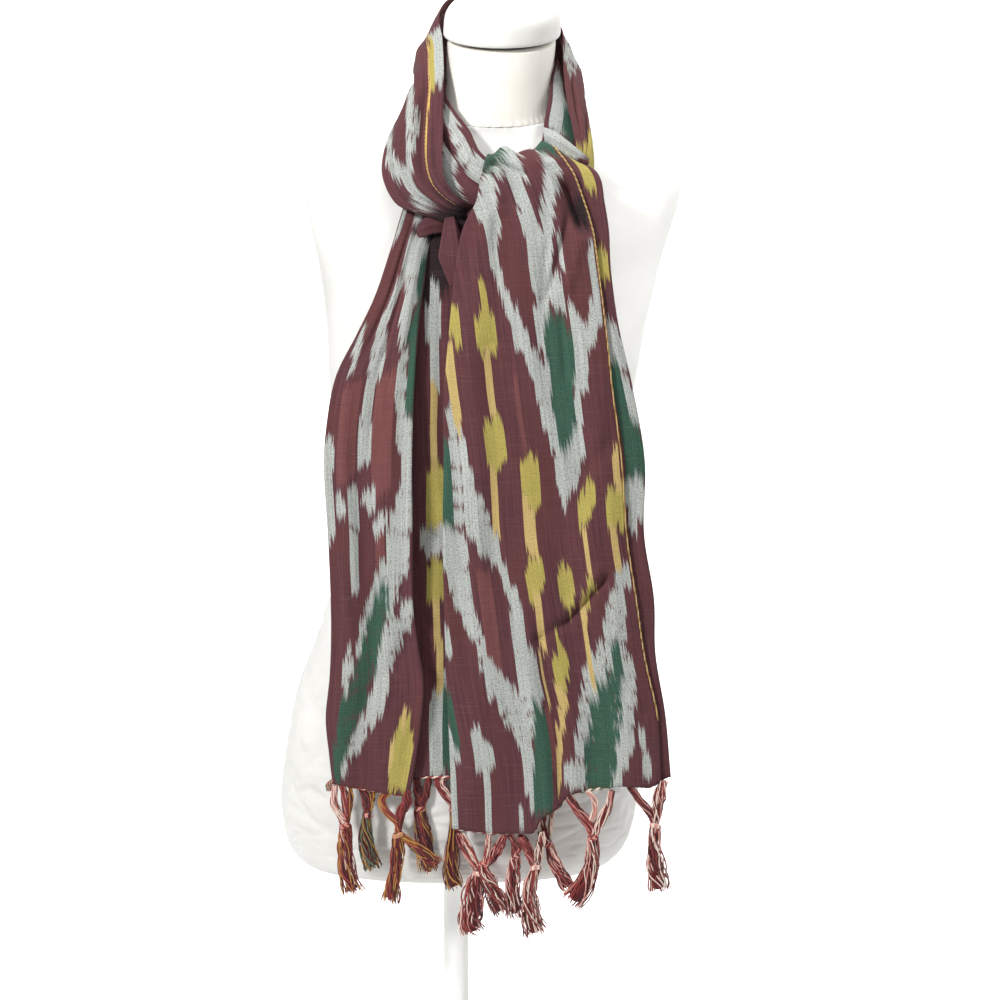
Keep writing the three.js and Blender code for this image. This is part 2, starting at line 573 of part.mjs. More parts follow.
add("scarf_under_cross", strand({ rows: UNDER_CROSS_ROWS, folds: singleLayer(4), steps: 8 }), CLOTH.shade);
const WRAP_FOLDS = { stops: [0, 1, 0.1], levels: [0, 1], points: [4, 3], step: 4 };
add("scarf_wrap", strand({ rows: WRAP_ROWS, folds: WRAP_FOLDS, steps: 9 }), CLOTH.grey);
add(
  "scarf_front_tail",
  hangingTail({
    rows: FRONT_TAIL_ROWS,
    foldsOf: ({ edge }) => ({ stops: [edge, 0, 1, 0.2], levels: [0, 1, 2], points: [9, 7, 4] }),
    steps: 23,
    hem: FRONT_HEM,
    crest: FRONT_CREST,
    ridges: [
      { at: 0.14, drift: 0.02, width: 0.09, rise: 4 },
      { at: 0.42, drift: -0.04, width: 0.11, rise: 3 },
      { at: 0.78, drift: 0.05, width: 0.1, rise: 5 },
    ],
  }),
  CLOTH.maroon,
);
add(
  "scarf_left_tail",
  hangingTail({
    rows: LEFT_TAIL_ROWS,
    foldsOf: () => ({ stops: [0.45, 1, 0, 0.4], levels: [1, 0, 1], points: [4, 7, 4] }),
    steps: 18,
    hem: LEFT_HEM,
    ridges: [
      { at: 0.2, drift: 0, width: 0.14, rise: 3 },
      { at: 0.7, drift: 0, width: 0.16, rise: 3 },
    ],
  }),
  CLOTH.maroon,
);
const INNER_FOLDS = { stops: [0.9, 0, 1], levels: [0, 1], points: [6, 4], step: 3.4 };
const innerTail = hangingTail({ rows: INNER_TAIL_ROWS, foldsOf: () => INNER_FOLDS, steps: 12 });
add("scarf_inner_tail", innerTail, CLOTH.shade);
const TUCK_FOLDS = { stops: [0.85, 0, 1], levels: [0, 1], points: [4, 4], step: 3 };
const tuck = hangingTail({ rows: TUCK_ROWS, foldsOf: () => TUCK_FOLDS, steps: 7 });
add("scarf_tuck", tuck, CLOTH.maroon);
TASSELS.forEach((row, i) => {
  add(`tassel_${String(i + 1).padStart(2, "0")}`, tassel(row), YARN[row.yarn], 1);
});

export default scarfOnForm;
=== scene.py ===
"""Looks of a handwoven ikat scarf, knotted once at the throat of a white limbless dress form.

The part's frame is used throughout: +Z up, the form's front towards -Y, the finished meshes in metres. The
tables are in millimetres. Each stretch of cloth is a surface of two parameters, one along the cloth and one
across it, worked out from a short table of sections, and a Solidify modifier gives it its thickness. Its UV
map is the flat cloth, u across the warps and v along them, in metres, and the dyed pattern is charted on it,
with painted shade in the hollows and the knot.
"""

import logging
import math
from dataclasses import astuple, dataclass, field
from enum import Enum
from typing import Optional, Sequence

import bpy
import numpy as np
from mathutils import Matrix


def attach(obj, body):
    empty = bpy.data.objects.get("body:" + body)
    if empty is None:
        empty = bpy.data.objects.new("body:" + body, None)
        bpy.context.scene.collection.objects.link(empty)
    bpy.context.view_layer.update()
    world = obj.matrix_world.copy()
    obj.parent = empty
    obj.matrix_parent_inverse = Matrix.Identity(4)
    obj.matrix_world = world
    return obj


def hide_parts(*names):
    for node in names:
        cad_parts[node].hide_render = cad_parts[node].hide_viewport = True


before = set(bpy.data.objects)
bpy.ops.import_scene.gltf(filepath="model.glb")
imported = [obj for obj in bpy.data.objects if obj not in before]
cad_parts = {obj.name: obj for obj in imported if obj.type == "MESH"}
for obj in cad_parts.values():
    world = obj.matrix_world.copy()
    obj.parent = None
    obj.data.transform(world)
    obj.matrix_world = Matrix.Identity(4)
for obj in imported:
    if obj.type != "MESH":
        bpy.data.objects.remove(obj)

LOG = logging.getLogger("scarf")
Array = np.ndarray
Object, Material, Socket = bpy.types.Object, bpy.types.Material, bpy.types.NodeSocket
Colour = tuple[float, float, float]
Place = tuple[float, float, float]
MM = 0.001
BODY = "root"
NO_ZERO = 1e-12  # added to a length before it divides
CLOTH_MAP = "flat_cloth"
YARN_COLOUR = "yarn_colour"
WHITE = (1.0, 1.0, 1.0, 1.0)
CORNERS = 64  # soft noise repeats after this many cells
OVERRUN, FADE = 0.12, 0.22  # a crease fades from this far past each end to this far inside, in its lengths
TAPER = 0.45  # a yarn's radius at its ends, as a share of the rest
ALONG_Y = 0.9  # a way that runs along Y more than this takes its side from X instead


def linear(code: str) -> Colour:
    """Turns a colour code such as "8e3b38" into linear red, green and blue.

    Args:
        code: Six hexadecimal digits.

    Returns:
        The three linear values, from 0 to 1.
    """
    shares = [int(code[i : i + 2], 16) / 255 for i in (0, 2, 4)]
    return tuple(s / 12.92 if s <= 0.04045 else ((s + 0.055) / 1.055) ** 2.4 for s in shares)


# ---------------------------------------------------------------- shapes


def smoothstep(x: Array, low: float, high: float) -> Array:
    """Rises from 0 at low to 1 at high as 3s^2 - 2s^3, where s is the clipped share of the way."""
    s = np.clip((x - low) / (high - low), 0.0, 1.0)
    return s * s * (3.0 - 2.0 * s)


def soft_noise(u: Array, v: Array, cell: tuple[float, float], seed: int) -> Array:
    """Uneven heights from -1 to 1: random values at a grid of corners, blended by smoothsteps between them.

    Args:
        u: Places across, in the cells' unit.
        v: Places along.
        cell: A cell's size across and along.
        seed: Seed of the corner values.

    Returns:
        A height for each place.
    """
    corners = np.random.default_rng(seed).uniform(-1.0, 1.0, (CORNERS, CORNERS))
    x, y = np.broadcast_arrays(u / cell[0], v / cell[1])
    i, j = np.floor(x).astype(int), np.floor(y).astype(int)
    fx, fy = x - i, y - j
    fx, fy = fx * fx * (3 - 2 * fx), fy * fy * (3 - 2 * fy)
    i, next_i, j, next_j = (k % CORNERS for k in (i, i + 1, j, j + 1))
    low = corners[i, j] * (1 - fx) + corners[next_i, j] * fx
    high = corners[i, next_j] * (1 - fx) + corners[next_i, next_j] * fx
    return low * (1 - fy) + high * fy


@dataclass(frozen=True)
class Table:
    """Rows of numbers under named columns, read between rows along a Catmull-Rom curve."""

    columns: str
    rows: tuple[tuple[float, ...], ...]

    def at(self, t: Array) -> dict[str, Array]:
        """Reads every column at shares t of the table's length.

        Args:
            t: Shares from 0 at the first row to 1 at the last, clipped to that range.

        Returns:
            An array like t for each column.
        """
        rows = np.array(self.rows, float)
        last = len(rows) - 1
        rows = np.vstack([2 * rows[0] - rows[1], rows, 2 * rows[-1] - rows[-2]])
        at = np.clip(t, 0.0, 1.0) * last
        i = np.minimum(at.astype(int), last - 1)
        f = (at - i)[..., None]
        a, b, c, d = rows[i], rows[i + 1], rows[i + 2], rows[i + 3]
        read = b + 0.5 * f * (c - a + f * (2 * a - 5 * b + 4 * c - d + f * (3 * (b - c) + d - a)))
        return {name: read[..., k] for k, name in enumerate(self.columns.split())}


@dataclass(frozen=True)
class Steps:
    """Values at shares of a width, joined by straight lines."""

    pairs: tuple[tuple[float, float], ...] = ((0.0, 0.0), (1.0, 0.0))

    def at(self, share: Array) -> Array:
        """Reads the value at each share."""
        return np.interp(share, [p[0] for p in self.pairs], [p[1] for p in self.pairs])


@dataclass(frozen=True)
class Crease:
    """A soft trough in the cloth along a line on its chart, in millimetres. A depth under 0 makes a ridge."""

    u0: float
    v0: float
    u1: float
    v1: float
    width: float
    depth: float

    def pressed(self, u: Array, v: Array) -> Array:
        """How far back the cloth is pressed: depth * exp(-(off/width)^2), faded out at the line's ends."""
        du, dv = self.u1 - self.u0, self.v1 - self.v0
        length = math.hypot(du, dv)
        along = ((u - self.u0) * du + (v - self.v0) * dv) / length**2
        off = ((u - self.u0) * dv - (v - self.v0) * du) / length
        ends = smoothstep(along, -OVERRUN, FADE) * (1.0 - smoothstep(along, 1 - FADE, 1 + OVERRUN))
        return self.depth * np.exp(-((off / self.width) ** 2)) * ends


def creases(*rows: Sequence[float]) -> tuple[Crease, ...]:
    """Makes a crease of each row."""
    return tuple(Crease(*row) for row in rows)


def along_path(points: Array) -> Array:
    """The distance along a path from its first point to each of its points."""
    return np.concatenate([[0.0], np.cumsum(np.linalg.norm(np.diff(points, axis=0), axis=1))])


def unit(vectors: Array) -> Array:
    """Each vector at a length of 1."""
    return vectors / (np.linalg.norm(vectors, axis=-1, keepdims=True) + NO_ZERO)


@dataclass(frozen=True)
class Section:
    """A folded section's points: place across, depth behind the front layer, and layer, in millimetres."""

    x: Array
    depth: Array
    layer: Array


@dataclass(frozen=True)
class Folds:
    """A cloth folded flat: the shares of the width where it turns, and each layer's level and points."""

    stops: tuple[float, ...]
    levels: tuple[int, ...]
    counts: tuple[int, ...]
    step: float = 4.2
    turn: int = 7

    def lay(self, width: Array, edge: Optional[Array] = None) -> Section:
        """Lays the section to and fro between its stops, with half a circle from layer to layer at each.

        Args:
            width: The folded width of each row.
            edge: Each row's share where the first layer begins, in place of the first stop.

        Returns:
            The section's points, a row for each width.
        """
        stops = np.tile(np.array(self.stops), (len(width), 1))
        if edge is not None:
            stops[:, 0] = edge
        x, depth, layer = [], [], []
        for k, (level, count) in enumerate(zip(self.levels, self.counts)):
            share = stops[:, k, None] + (stops[:, k + 1] - stops[:, k])[:, None] * np.linspace(0, 1, count)
            x.append(share * width[:, None])
            depth.append(np.full(count, level * self.step))
            layer.append(np.full(count, float(k)))
            if k + 1 == len(self.levels):
                break
            radius = (self.levels[k + 1] - level) * self.step / 2
            way = np.sign(self.stops[k + 1] - self.stops[k])
            angle = math.pi * np.arange(1, self.turn + 1) / (self.turn + 1)
            x.append((stops[:, k + 1] * width)[:, None] + way * abs(radius) * np.sin(angle))
            depth.append(level * self.step + radius * (1 - np.cos(angle)))
            layer.append(k + np.arange(1, self.turn + 1) / (self.turn + 1))
        return Section(np.hstack(x), np.concatenate(depth)[None, :], np.concatenate(layer)[None, :])


def grid_faces(rows: int, cols: int, wrap: bool = False) -> Array:
    """Four-sided faces between neighbouring rows and columns of a grid of points.

    Args:
        rows: Rows of points.
        cols: Points in a row.
        wrap: Whether the last point of a row joins its first.

    Returns:
        An array of corner numbers, four to a face.
    """
    i = np.arange(cols if wrap else cols - 1)
    j = np.arange(rows - 1)[:, None]
    a, b = j * cols + i, j * cols + (i + 1) % cols
    return np.stack([a, b, b + cols, a + cols], -1).reshape(-1, 4)


def make_mesh(
    name: str, points: Array, faces: list[list[int]], material: Material, uv: Optional[Array] = None
) -> Object:
    """Puts points and faces into a smooth-shaded mesh object at the origin.

    Args:
        name: The object's name.
        points: Points in metres, of any grid shape, with three numbers each.
        faces: Corner numbers of each face.
        material: Its finish.
        uv: Flat places of the points in metres, for a UV map.

    Returns:
        The new object.
    """
    mesh = bpy.data.meshes.new(name)
    mesh.from_pydata(points.reshape(-1, 3).tolist(), [], faces)
    if uv is not None:
        corners = np.empty(len(mesh.loops), np.int32)
        mesh.loops.foreach_get("vertex_index", corners)
        layer = mesh.uv_layers.new(name=CLOTH_MAP)
        layer.uv.foreach_set("vector", uv.reshape(-1, 2)[corners].astype(np.float32).ravel())
    mesh.shade_smooth()
    mesh.materials.append(material)
    mesh.update()
    piece = bpy.data.objects.new(name, mesh)
    bpy.context.scene.collection.objects.link(piece)
    return piece


def on_body(piece: Object, slot: str, *nodes: str) -> Object:
    """Puts the piece on the body, and hides the solids that it stands for."""
    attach(piece, BODY)
    if nodes:
        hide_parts(*nodes)
    return piece


def tubes(paths: Array, radius: Array, sides: int) -> tuple[Array, list[list[int]]]:
    """Carries a round profile along each of several paths, and closes both ends.

    A point is centre + r (cos(a) side + sin(a) up), where side and up are square to the path.

    Args:
        paths: Yarns by points by three.
        radius: Radii, of a shape that fits yarns by points.
        sides: Sides of the profile.

    Returns:
        The points and the faces of all the tubes.
    """
    yarns, n, _ = paths.shape
    ahead = unit(np.gradient(paths, axis=1))
    level = np.abs(ahead[..., 1:2]) >= ALONG_Y
    side = unit(np.cross(ahead, np.where(level, [1.0, 0.0, 0.0], [0.0, 1.0, 0.0])))
    up = np.cross(side, ahead)
    angle = 2 * math.pi * np.arange(sides)[:, None] / sides
    r = np.broadcast_to(radius, (yarns, n)).copy()
    r[:, [0, -1]] *= TAPER
    ring = np.cos(angle) * side[:, :, None] + np.sin(angle) * up[:, :, None]
    points = paths[:, :, None] + r[:, :, None, None] * ring
    i = np.arange(sides)
    j = (i + 1) % sides
    start = np.arange(yarns)[:, None] * n * sides
    last, middle = start + (n - 1) * sides, yarns * n * sides + 2 * np.arange(yarns)[:, None]
    walls = grid_faces(n, sides, wrap=True) + start[..., None]
    low = np.stack(np.broadcast_arrays(middle, start + j, start + i), -1)
    high = np.stack(np.broadcast_arrays(middle + 1, last + i, last + j), -1)
    faces = walls.reshape(-1, 4).tolist() + low.reshape(-1, 3).tolist() + high.reshape(-1, 3).tolist()
    ends = np.stack([paths[:, 0], paths[:, -1]], 1)
    return np.vstack([points.reshape(-1, 3), ends.reshape(-1, 3)]), faces


# ---------------------------------------------------------------- finishes


class Graph:
    """A material's or a group's nodes, with short calls for those that the finishes use."""

    def __init__(self, tree: bpy.types.NodeTree) -> None:
        """Starts from an empty tree."""
        self.tree = tree
        tree.nodes.clear()

    def add(self, kind: str, inputs: Optional[dict] = None, **settings: object) -> bpy.types.Node:
        """Adds a node.

        Args:
            kind: The node's type, without its "ShaderNode" where it has one.
            inputs: A value or a socket for each input, by name or number.
            settings: The node's own settings.

        Returns:
            The new node.
        """
        name = kind if kind.startswith(("Node", "Shader")) else "ShaderNode" + kind
        node = self.tree.nodes.new(name)
        for key, value in settings.items():
            setattr(node, key, value)
        for key, value in (inputs or {}).items():
            if isinstance(value, Socket):
                self.tree.links.new(value, node.inputs[key])
            elif isinstance(value, tuple) and len(value) == 3 and node.inputs[key].type == "RGBA":
                node.inputs[key].default_value = (*value, 1.0)
            else:
                node.inputs[key].default_value = value
        return node

    def math(self, operation: str, *values: object, clamp: bool = False) -> Socket:
        """One sum on numbers or sockets, such as math("ADD", a, b)."""
        return self.add("Math", dict(enumerate(values)), operation=operation, use_clamp=clamp).outputs[0]

    def ramp(
        self, value: object, low: float, high: float, to_low: float = 0.0, to_high: float = 1.0
    ) -> Socket:
        """Maps low..high to to_low..to_high, clipped."""
        inputs = {"Value": value, "From Min": low, "From Max": high, "To Min": to_low, "To Max": to_high}
        return self.add("MapRange", inputs).outputs["Result"]

    def mix(self, share: object, a: object, b: object, blend: str = "MIX") -> Socket:
        """Mixes colour b over colour a. A Mix node's colours are its inputs 6 and 7 and its output 2."""
        node = self.add("Mix", {}, data_type="RGBA", blend_type=blend)
        for index, value in ((0, share), (6, a), (7, b)):
            if isinstance(value, Socket):
                self.tree.links.new(value, node.inputs[index])
            else:
                node.inputs[index].default_value = (*value, 1.0) if index else value
        return node.outputs[2]

    def place(self, x: object, y: object, z: object = 0.0) -> Socket:
        """Joins three numbers into a place."""
        return self.add("CombineXYZ", {0: x, 1: y, 2: z}).outputs[0]

    def noise(self, place: Socket, scale: float, detail: float = 2.0, rough: float = 0.5) -> Socket:
        """Soft noise from 0 to 1."""
        inputs = {"Vector": place, "Scale": scale, "Detail": detail, "Roughness": rough}
        return self.add("TexNoise", inputs).outputs["Fac"]

    def grain(
        self, flat: tuple[Socket, Socket], scales: tuple[float, float], level: float = 0.0,
        detail: float = 2.0, rough: float = 0.5,
    ) -> Socket:
        """Soft noise from 0 to 1 on flat cloth.

        Args:
            flat: The places across and along.
            scales: How fast the noise changes across and along.
            level: Which level of the noise is cut, so that two grains differ.
            detail: Its detail.
            rough: Its roughness.

        Returns:
            The noise.
        """
        across, along = (self.math("MULTIPLY", way, scale) for way, scale in zip(flat, scales))
        return self.noise(self.place(across, along, level), 1.0, detail, rough)

    def random(self, place: Socket) -> Socket:
        """A random number from 0 to 1 for each place."""
        return self.add("TexWhiteNoise", {"Vector": place}, noise_dimensions="3D").outputs["Value"]

    def finish(self, **inputs: object) -> None:
        """Ends the tree in a Principled shader with these inputs."""
        named = {key.replace("_", " "): value for key, value in inputs.items()}
        shader = self.add("BsdfPrincipled", named)
        output = self.add("OutputMaterial")
        self.tree.links.new(shader.outputs[0], output.inputs[0])


def new_material(name: str) -> tuple[Material, Graph]:
    """A named material and its empty graph."""
    material = bpy.data.materials.new(name)
    material.use_nodes = True
    return material, Graph(material.node_tree)


class Hue(Enum):
    """The yarn colours, dark and light, that the warps are resist-dyed in, first laid to last, and a painted
    shade.

    The near-black one is no dye but painted shade: it darkens the cloth in the knot and in deep hollows.
    """

    ROSE = ("643c3b", "83504d")
    DUSK = ("1f1618", "33262a")
    GREY = ("727572", "c4c7c2")
    GREEN = ("263f33", "3c5f4f")
    OLIVE = ("8a8044", "b8a95a")
    STRAW = ("9d8757", "cab072")
    GOLD = ("a8863f", "dcb96c")


# Hues whose edges bleed further: the green and the painted shade.
SOFT_HUES = (Hue.GREEN, Hue.DUSK)
WINE = ("472a30", "60393d")
WINE_CLOUD, SLUB_LIGHT, SLUB_DARK, FLECK = "5c3433", "8a7670", "33211f", "97857d"


@dataclass(frozen=True)
class Patch:
    """A patch of dye or painted shade: near and far are its sides across the chart, low and high its ends
    along it.

    Each end is given at the near side and at the far side, so it may run aslant. All are in millimetres.
    """

    near: float
    far: float
    low_near: float
    low_far: float
    high_near: float
    high_far: float

    @property
    def tip(self) -> float:
        """How much sooner the patch ends at its sides than in its middle."""
        return min(7.0, 0.25 * (self.far - self.near))


@dataclass(frozen=True)
class Ikat:
    """Plain-weave cotton with resist-dyed warps, and painted shade where it goes into hollows and the knot.

    Bundles of a few warps are dyed together, so a patch has stepped ends, each bundle's a little off its
    neighbour's, with single warps that stray further and dye that bleeds along them. The warps also sway a
    little to each side. All lengths are in millimetres.
    """

    name: str
    chart: dict[Hue, Sequence[Sequence[float]]]
    bundle: float = 2.2
    stray: float = 11.0
    lone_stray: float = 24.2
    sway: float = 1.2
    bleed: float = 6.0
    soft_bleed: float = 13.2
    warp: float = 0.75
    rose_share: float = 0.65

    @staticmethod
    def patch_group() -> bpy.types.NodeTree:
        """The node group that tells how much a place on the chart lies in one patch.

        s = (across - near) / (far - near); each end is the line between its near and far values at s, drawn
        in by tip * (2 s - 1) squared; the share falls from 1 to 0 within the bleed's length about each end.
        It isn't clipped here, so that many patches can be joined.
        """
        found = bpy.data.node_groups.get("dyed_patch")
        if found:
            return found
        tree = bpy.data.node_groups.new("dyed_patch", "ShaderNodeTree")
        tree.interface.new_socket("Place", in_out="INPUT", socket_type="NodeSocketVector")
        for name in ("Near", "Far", "Low Near", "Low Far", "High Near", "High Far", "Tip", "Bleed"):
            tree.interface.new_socket(name, in_out="INPUT", socket_type="NodeSocketFloat")
        tree.interface.new_socket("Share", in_out="OUTPUT", socket_type="NodeSocketFloat")
        g = Graph(tree)
        given = g.add("NodeGroupInput").outputs
        place = g.add("SeparateXYZ", {0: given["Place"]}).outputs
        span = {"Value": place[0], "From Min": given["Near"], "From Max": given["Far"]}
        across = g.add("MapRange", span, clamp=False).outputs["Result"]
        inside = g.math("COMPARE", across, 0.5, 0.5)
        middle = g.math("MULTIPLY_ADD", across, 2.0, -1.0)
        drawn = g.math("MULTIPLY", g.math("MULTIPLY", middle, middle), given["Tip"])
        ends = []
        for side in ("Low", "High"):
            inputs = {"Value": across, "To Min": given[side + " Near"], "To Max": given[side + " Far"]}
            ends.append(g.add("MapRange", inputs, clamp=False).outputs["Result"])
        above = g.math("SUBTRACT", place[1], ends[0])
        below = g.math("SUBTRACT", ends[1], place[2])
        nearest = g.math("SUBTRACT", g.math("MINIMUM", above, below), drawn)
        share = g.math("ADD", g.math("DIVIDE", nearest, given["Bleed"]), 0.5)
        g.add("NodeGroupOutput", {0: g.math("MULTIPLY", share, inside)})
        return tree

    def strayed(self, g: Graph, u: Socket, v: Socket) -> Socket:
        """The place that the chart is read at: the bundle's middle across, and two strayed places along."""
        wander = g.grain((u, v), (0.02, 0.012), detail=1.0)
        warp = g.math("ADD", u, g.ramp(wander, 0.2, 0.8, -self.sway, self.sway))
        thread = g.math("FLOOR", g.math("DIVIDE", warp, self.warp))
        group = g.math("FLOOR", g.math("DIVIDE", warp, self.bundle))
        across = g.math("MULTIPLY", g.math("ADD", group, 0.5), self.bundle)
        ends = []
        for k in (1.0, 2.0):
            by_group = g.math("SUBTRACT", g.random(g.place(group, k)), 0.5)
            by_thread = g.math("SUBTRACT", g.random(g.place(thread, k, 3.0)), 0.5)
            far = g.math("MULTIPLY", by_thread, g.math("ABSOLUTE", by_thread))
            shift = g.math("MULTIPLY_ADD", by_group, self.stray, v)
            ends.append(g.math("MULTIPLY_ADD", far, self.lone_stray, shift))
        return g.place(across, *ends)

    def make(self) -> Material:
        """Builds the material, which reads the piece's own UV map."""
        material, g = new_material(self.name)
        flat = g.add("UVMap", uv_map=CLOTH_MAP).outputs[0]
        chart = g.add("VectorMath", {0: flat, "Scale": 1 / MM}, operation="SCALE").outputs[0]
        cloth = tuple(g.add("SeparateXYZ", {0: chart}).outputs[:2])
        place = self.strayed(g, *cloth)
        shares = {}
        for hue, rows in self.chart.items():
            bleed = self.soft_bleed if hue in SOFT_HUES else self.bleed
            for patch in (Patch(*row) for row in rows):
                node = g.add("Group", {0: place}, node_tree=self.patch_group())
                for socket, value in zip(list(node.inputs)[1:], (*astuple(patch), patch.tip, bleed)):
                    socket.default_value = value
                old = shares.get(hue)
                shares[hue] = g.math("MAXIMUM", old, node.outputs[0]) if old else node.outputs[0]
        streak = g.grain(cloth, (0.55, 0.012), detail=3.0)
        slub = g.grain(cloth, (0.025, 0.8), 5.0)
        fleck = g.grain(cloth, (0.9, 1.1), 9.0, rough=0.7)
        heather = g.grain(cloth, (0.8, 0.6), 4.0, rough=0.8)
        cloud = g.grain(cloth, (0.02, 0.009), 2.0)
        colour = g.mix(g.ramp(streak, 0.3, 0.7), *map(linear, WINE))
        colour = g.mix(g.ramp(cloud, 0.4, 0.65, 0.0, 0.6), colour, linear(WINE_CLOUD))
        # Each hue's patches are laid over the wine ground in turn; the painted shade's darken it in hollows
        # and the knot.
        for hue in (hue for hue in Hue if hue in shares):
            shades = [linear(code) for code in hue.value]
            flecked = g.mix(g.ramp(heather, 0.35, 0.63), *shades)
            grain = g.mix(0.35, flecked, g.mix(g.ramp(streak, 0.3, 0.7), *shades))
            most = self.rose_share if hue is Hue.ROSE else 1.0
            colour = g.mix(g.ramp(shares[hue], 0.0, 1.0, 0.0, most), colour, grain)
        for uneven, low, high, most, code in (
            (slub, 0.58, 0.78, 0.16, SLUB_LIGHT),
            (slub, 0.42, 0.22, 0.26, SLUB_DARK),
            (fleck, 0.56, 0.85, 0.22, FLECK),
        ):
            colour = g.mix(g.ramp(uneven, low, high, 0.0, most), colour, linear(code))
        weave = g.math("ADD", g.math("ADD", streak, slub), heather)
        bump = g.add("Bump", {"Height": weave, "Strength": 0.5, "Distance": 0.0006}).outputs[0]
        sheen = {"Sheen_Weight": 0.06, "Sheen_Roughness": 0.5, "Specular_IOR_Level": 0.15}
        g.finish(Base_Color=colour, Roughness=g.ramp(fleck, 0.2, 0.8, 0.8, 0.95), Normal=bump, **sheen)
        return material


@dataclass(frozen=True)
class YarnFinish:
    """Dull plied cotton yarn, in the colour that each yarn carries in its own attribute."""

    name: str = "fringe_yarn"
    shade: Colour = (0.62, 0.52, 0.48)

    def make(self) -> Material:
        """Builds the material."""
        material, g = new_material(self.name)
        dyed = g.add("Attribute", attribute_name=YARN_COLOUR).outputs["Color"]
        place = g.add("TexCoord").outputs["Object"]
        fibre = g.noise(place, 1400.0, 2.0, 0.7)
        colour = g.mix(g.ramp(fibre, 0.3, 0.7), dyed, self.shade, "MULTIPLY")
        colour = g.mix(g.ramp(fibre, 0.25, 0.75, 0.25, 0.8), colour, dyed)
        bump = g.add("Bump", {"Height": fibre, "Strength": 0.5, "Distance": 0.0003}).outputs[0]
        g.finish(Base_Color=colour, Roughness=0.88, Normal=bump, Specular_IOR_Level=0.2, Sheen_Weight=0.2)
        return material


@dataclass(frozen=True)
class CoverFinish:
    """Close knitted cotton stretched over padding, a little uneven in tone."""

    name: str
    light: str
    dark: str
    knit: float = 1500.0

    def make(self) -> Material:
        """Builds the material."""
        material, g = new_material(self.name)
        place = g.add("TexCoord").outputs["Object"]
        soil = g.noise(place, 9.0, 4.0, 0.6)
        loops = g.add("TexVoronoi", {"Vector": place, "Scale": self.knit}).outputs["Distance"]
        colour = g.mix(g.ramp(soil, 0.35, 0.75), linear(self.light), linear(self.dark))
        colour = g.mix(g.ramp(loops, 0.2, 0.9, 0.0, 0.2), colour, linear(self.dark))
        bump = g.add("Bump", {"Height": loops, "Strength": 0.25, "Distance": 0.0002}).outputs[0]
        rough = g.ramp(soil, 0.3, 0.7, 0.72, 0.86)
        g.finish(Base_Color=colour, Roughness=rough, Normal=bump, Sheen_Weight=0.15, Specular_IOR_Level=0.3)
        return material


@dataclass(frozen=True)
class PaintFinish:
    """Sprayed paint or lacquer with a faint orange peel."""

    name: str
    light: str
    dark: str
    low: float
    high: float
    peel: float = 260.0

    def make(self) -> Material:
        """Builds the material."""
        material, g = new_material(self.name)
        place = g.add("TexCoord").outputs["Object"]
        peel = g.noise(place, self.peel, 2.0, 0.5)
        soil = g.noise(place, 14.0, 4.0, 0.6)
        colour = g.mix(g.ramp(soil, 0.4, 0.75), linear(self.light), linear(self.dark))
        bump = g.add("Bump", {"Height": peel, "Strength": 0.06, "Distance": 0.0004}).outputs[0]
        rough = g.ramp(soil, 0.3, 0.7, self.low, self.high)
        g.finish(Base_Color=colour, Roughness=rough, Normal=bump)
        return material


Finish = CoverFinish | PaintFinish


# ---------------------------------------------------------------- charts of the dyed pattern and the painted shade

GREY, GREEN, OLIVE, ROSE = Hue.GREY, Hue.GREEN, Hue.OLIVE, Hue.ROSE

# Each row is a patch: its near and far places across, its low end at each of them, and its high end at each,
# in millimetres.

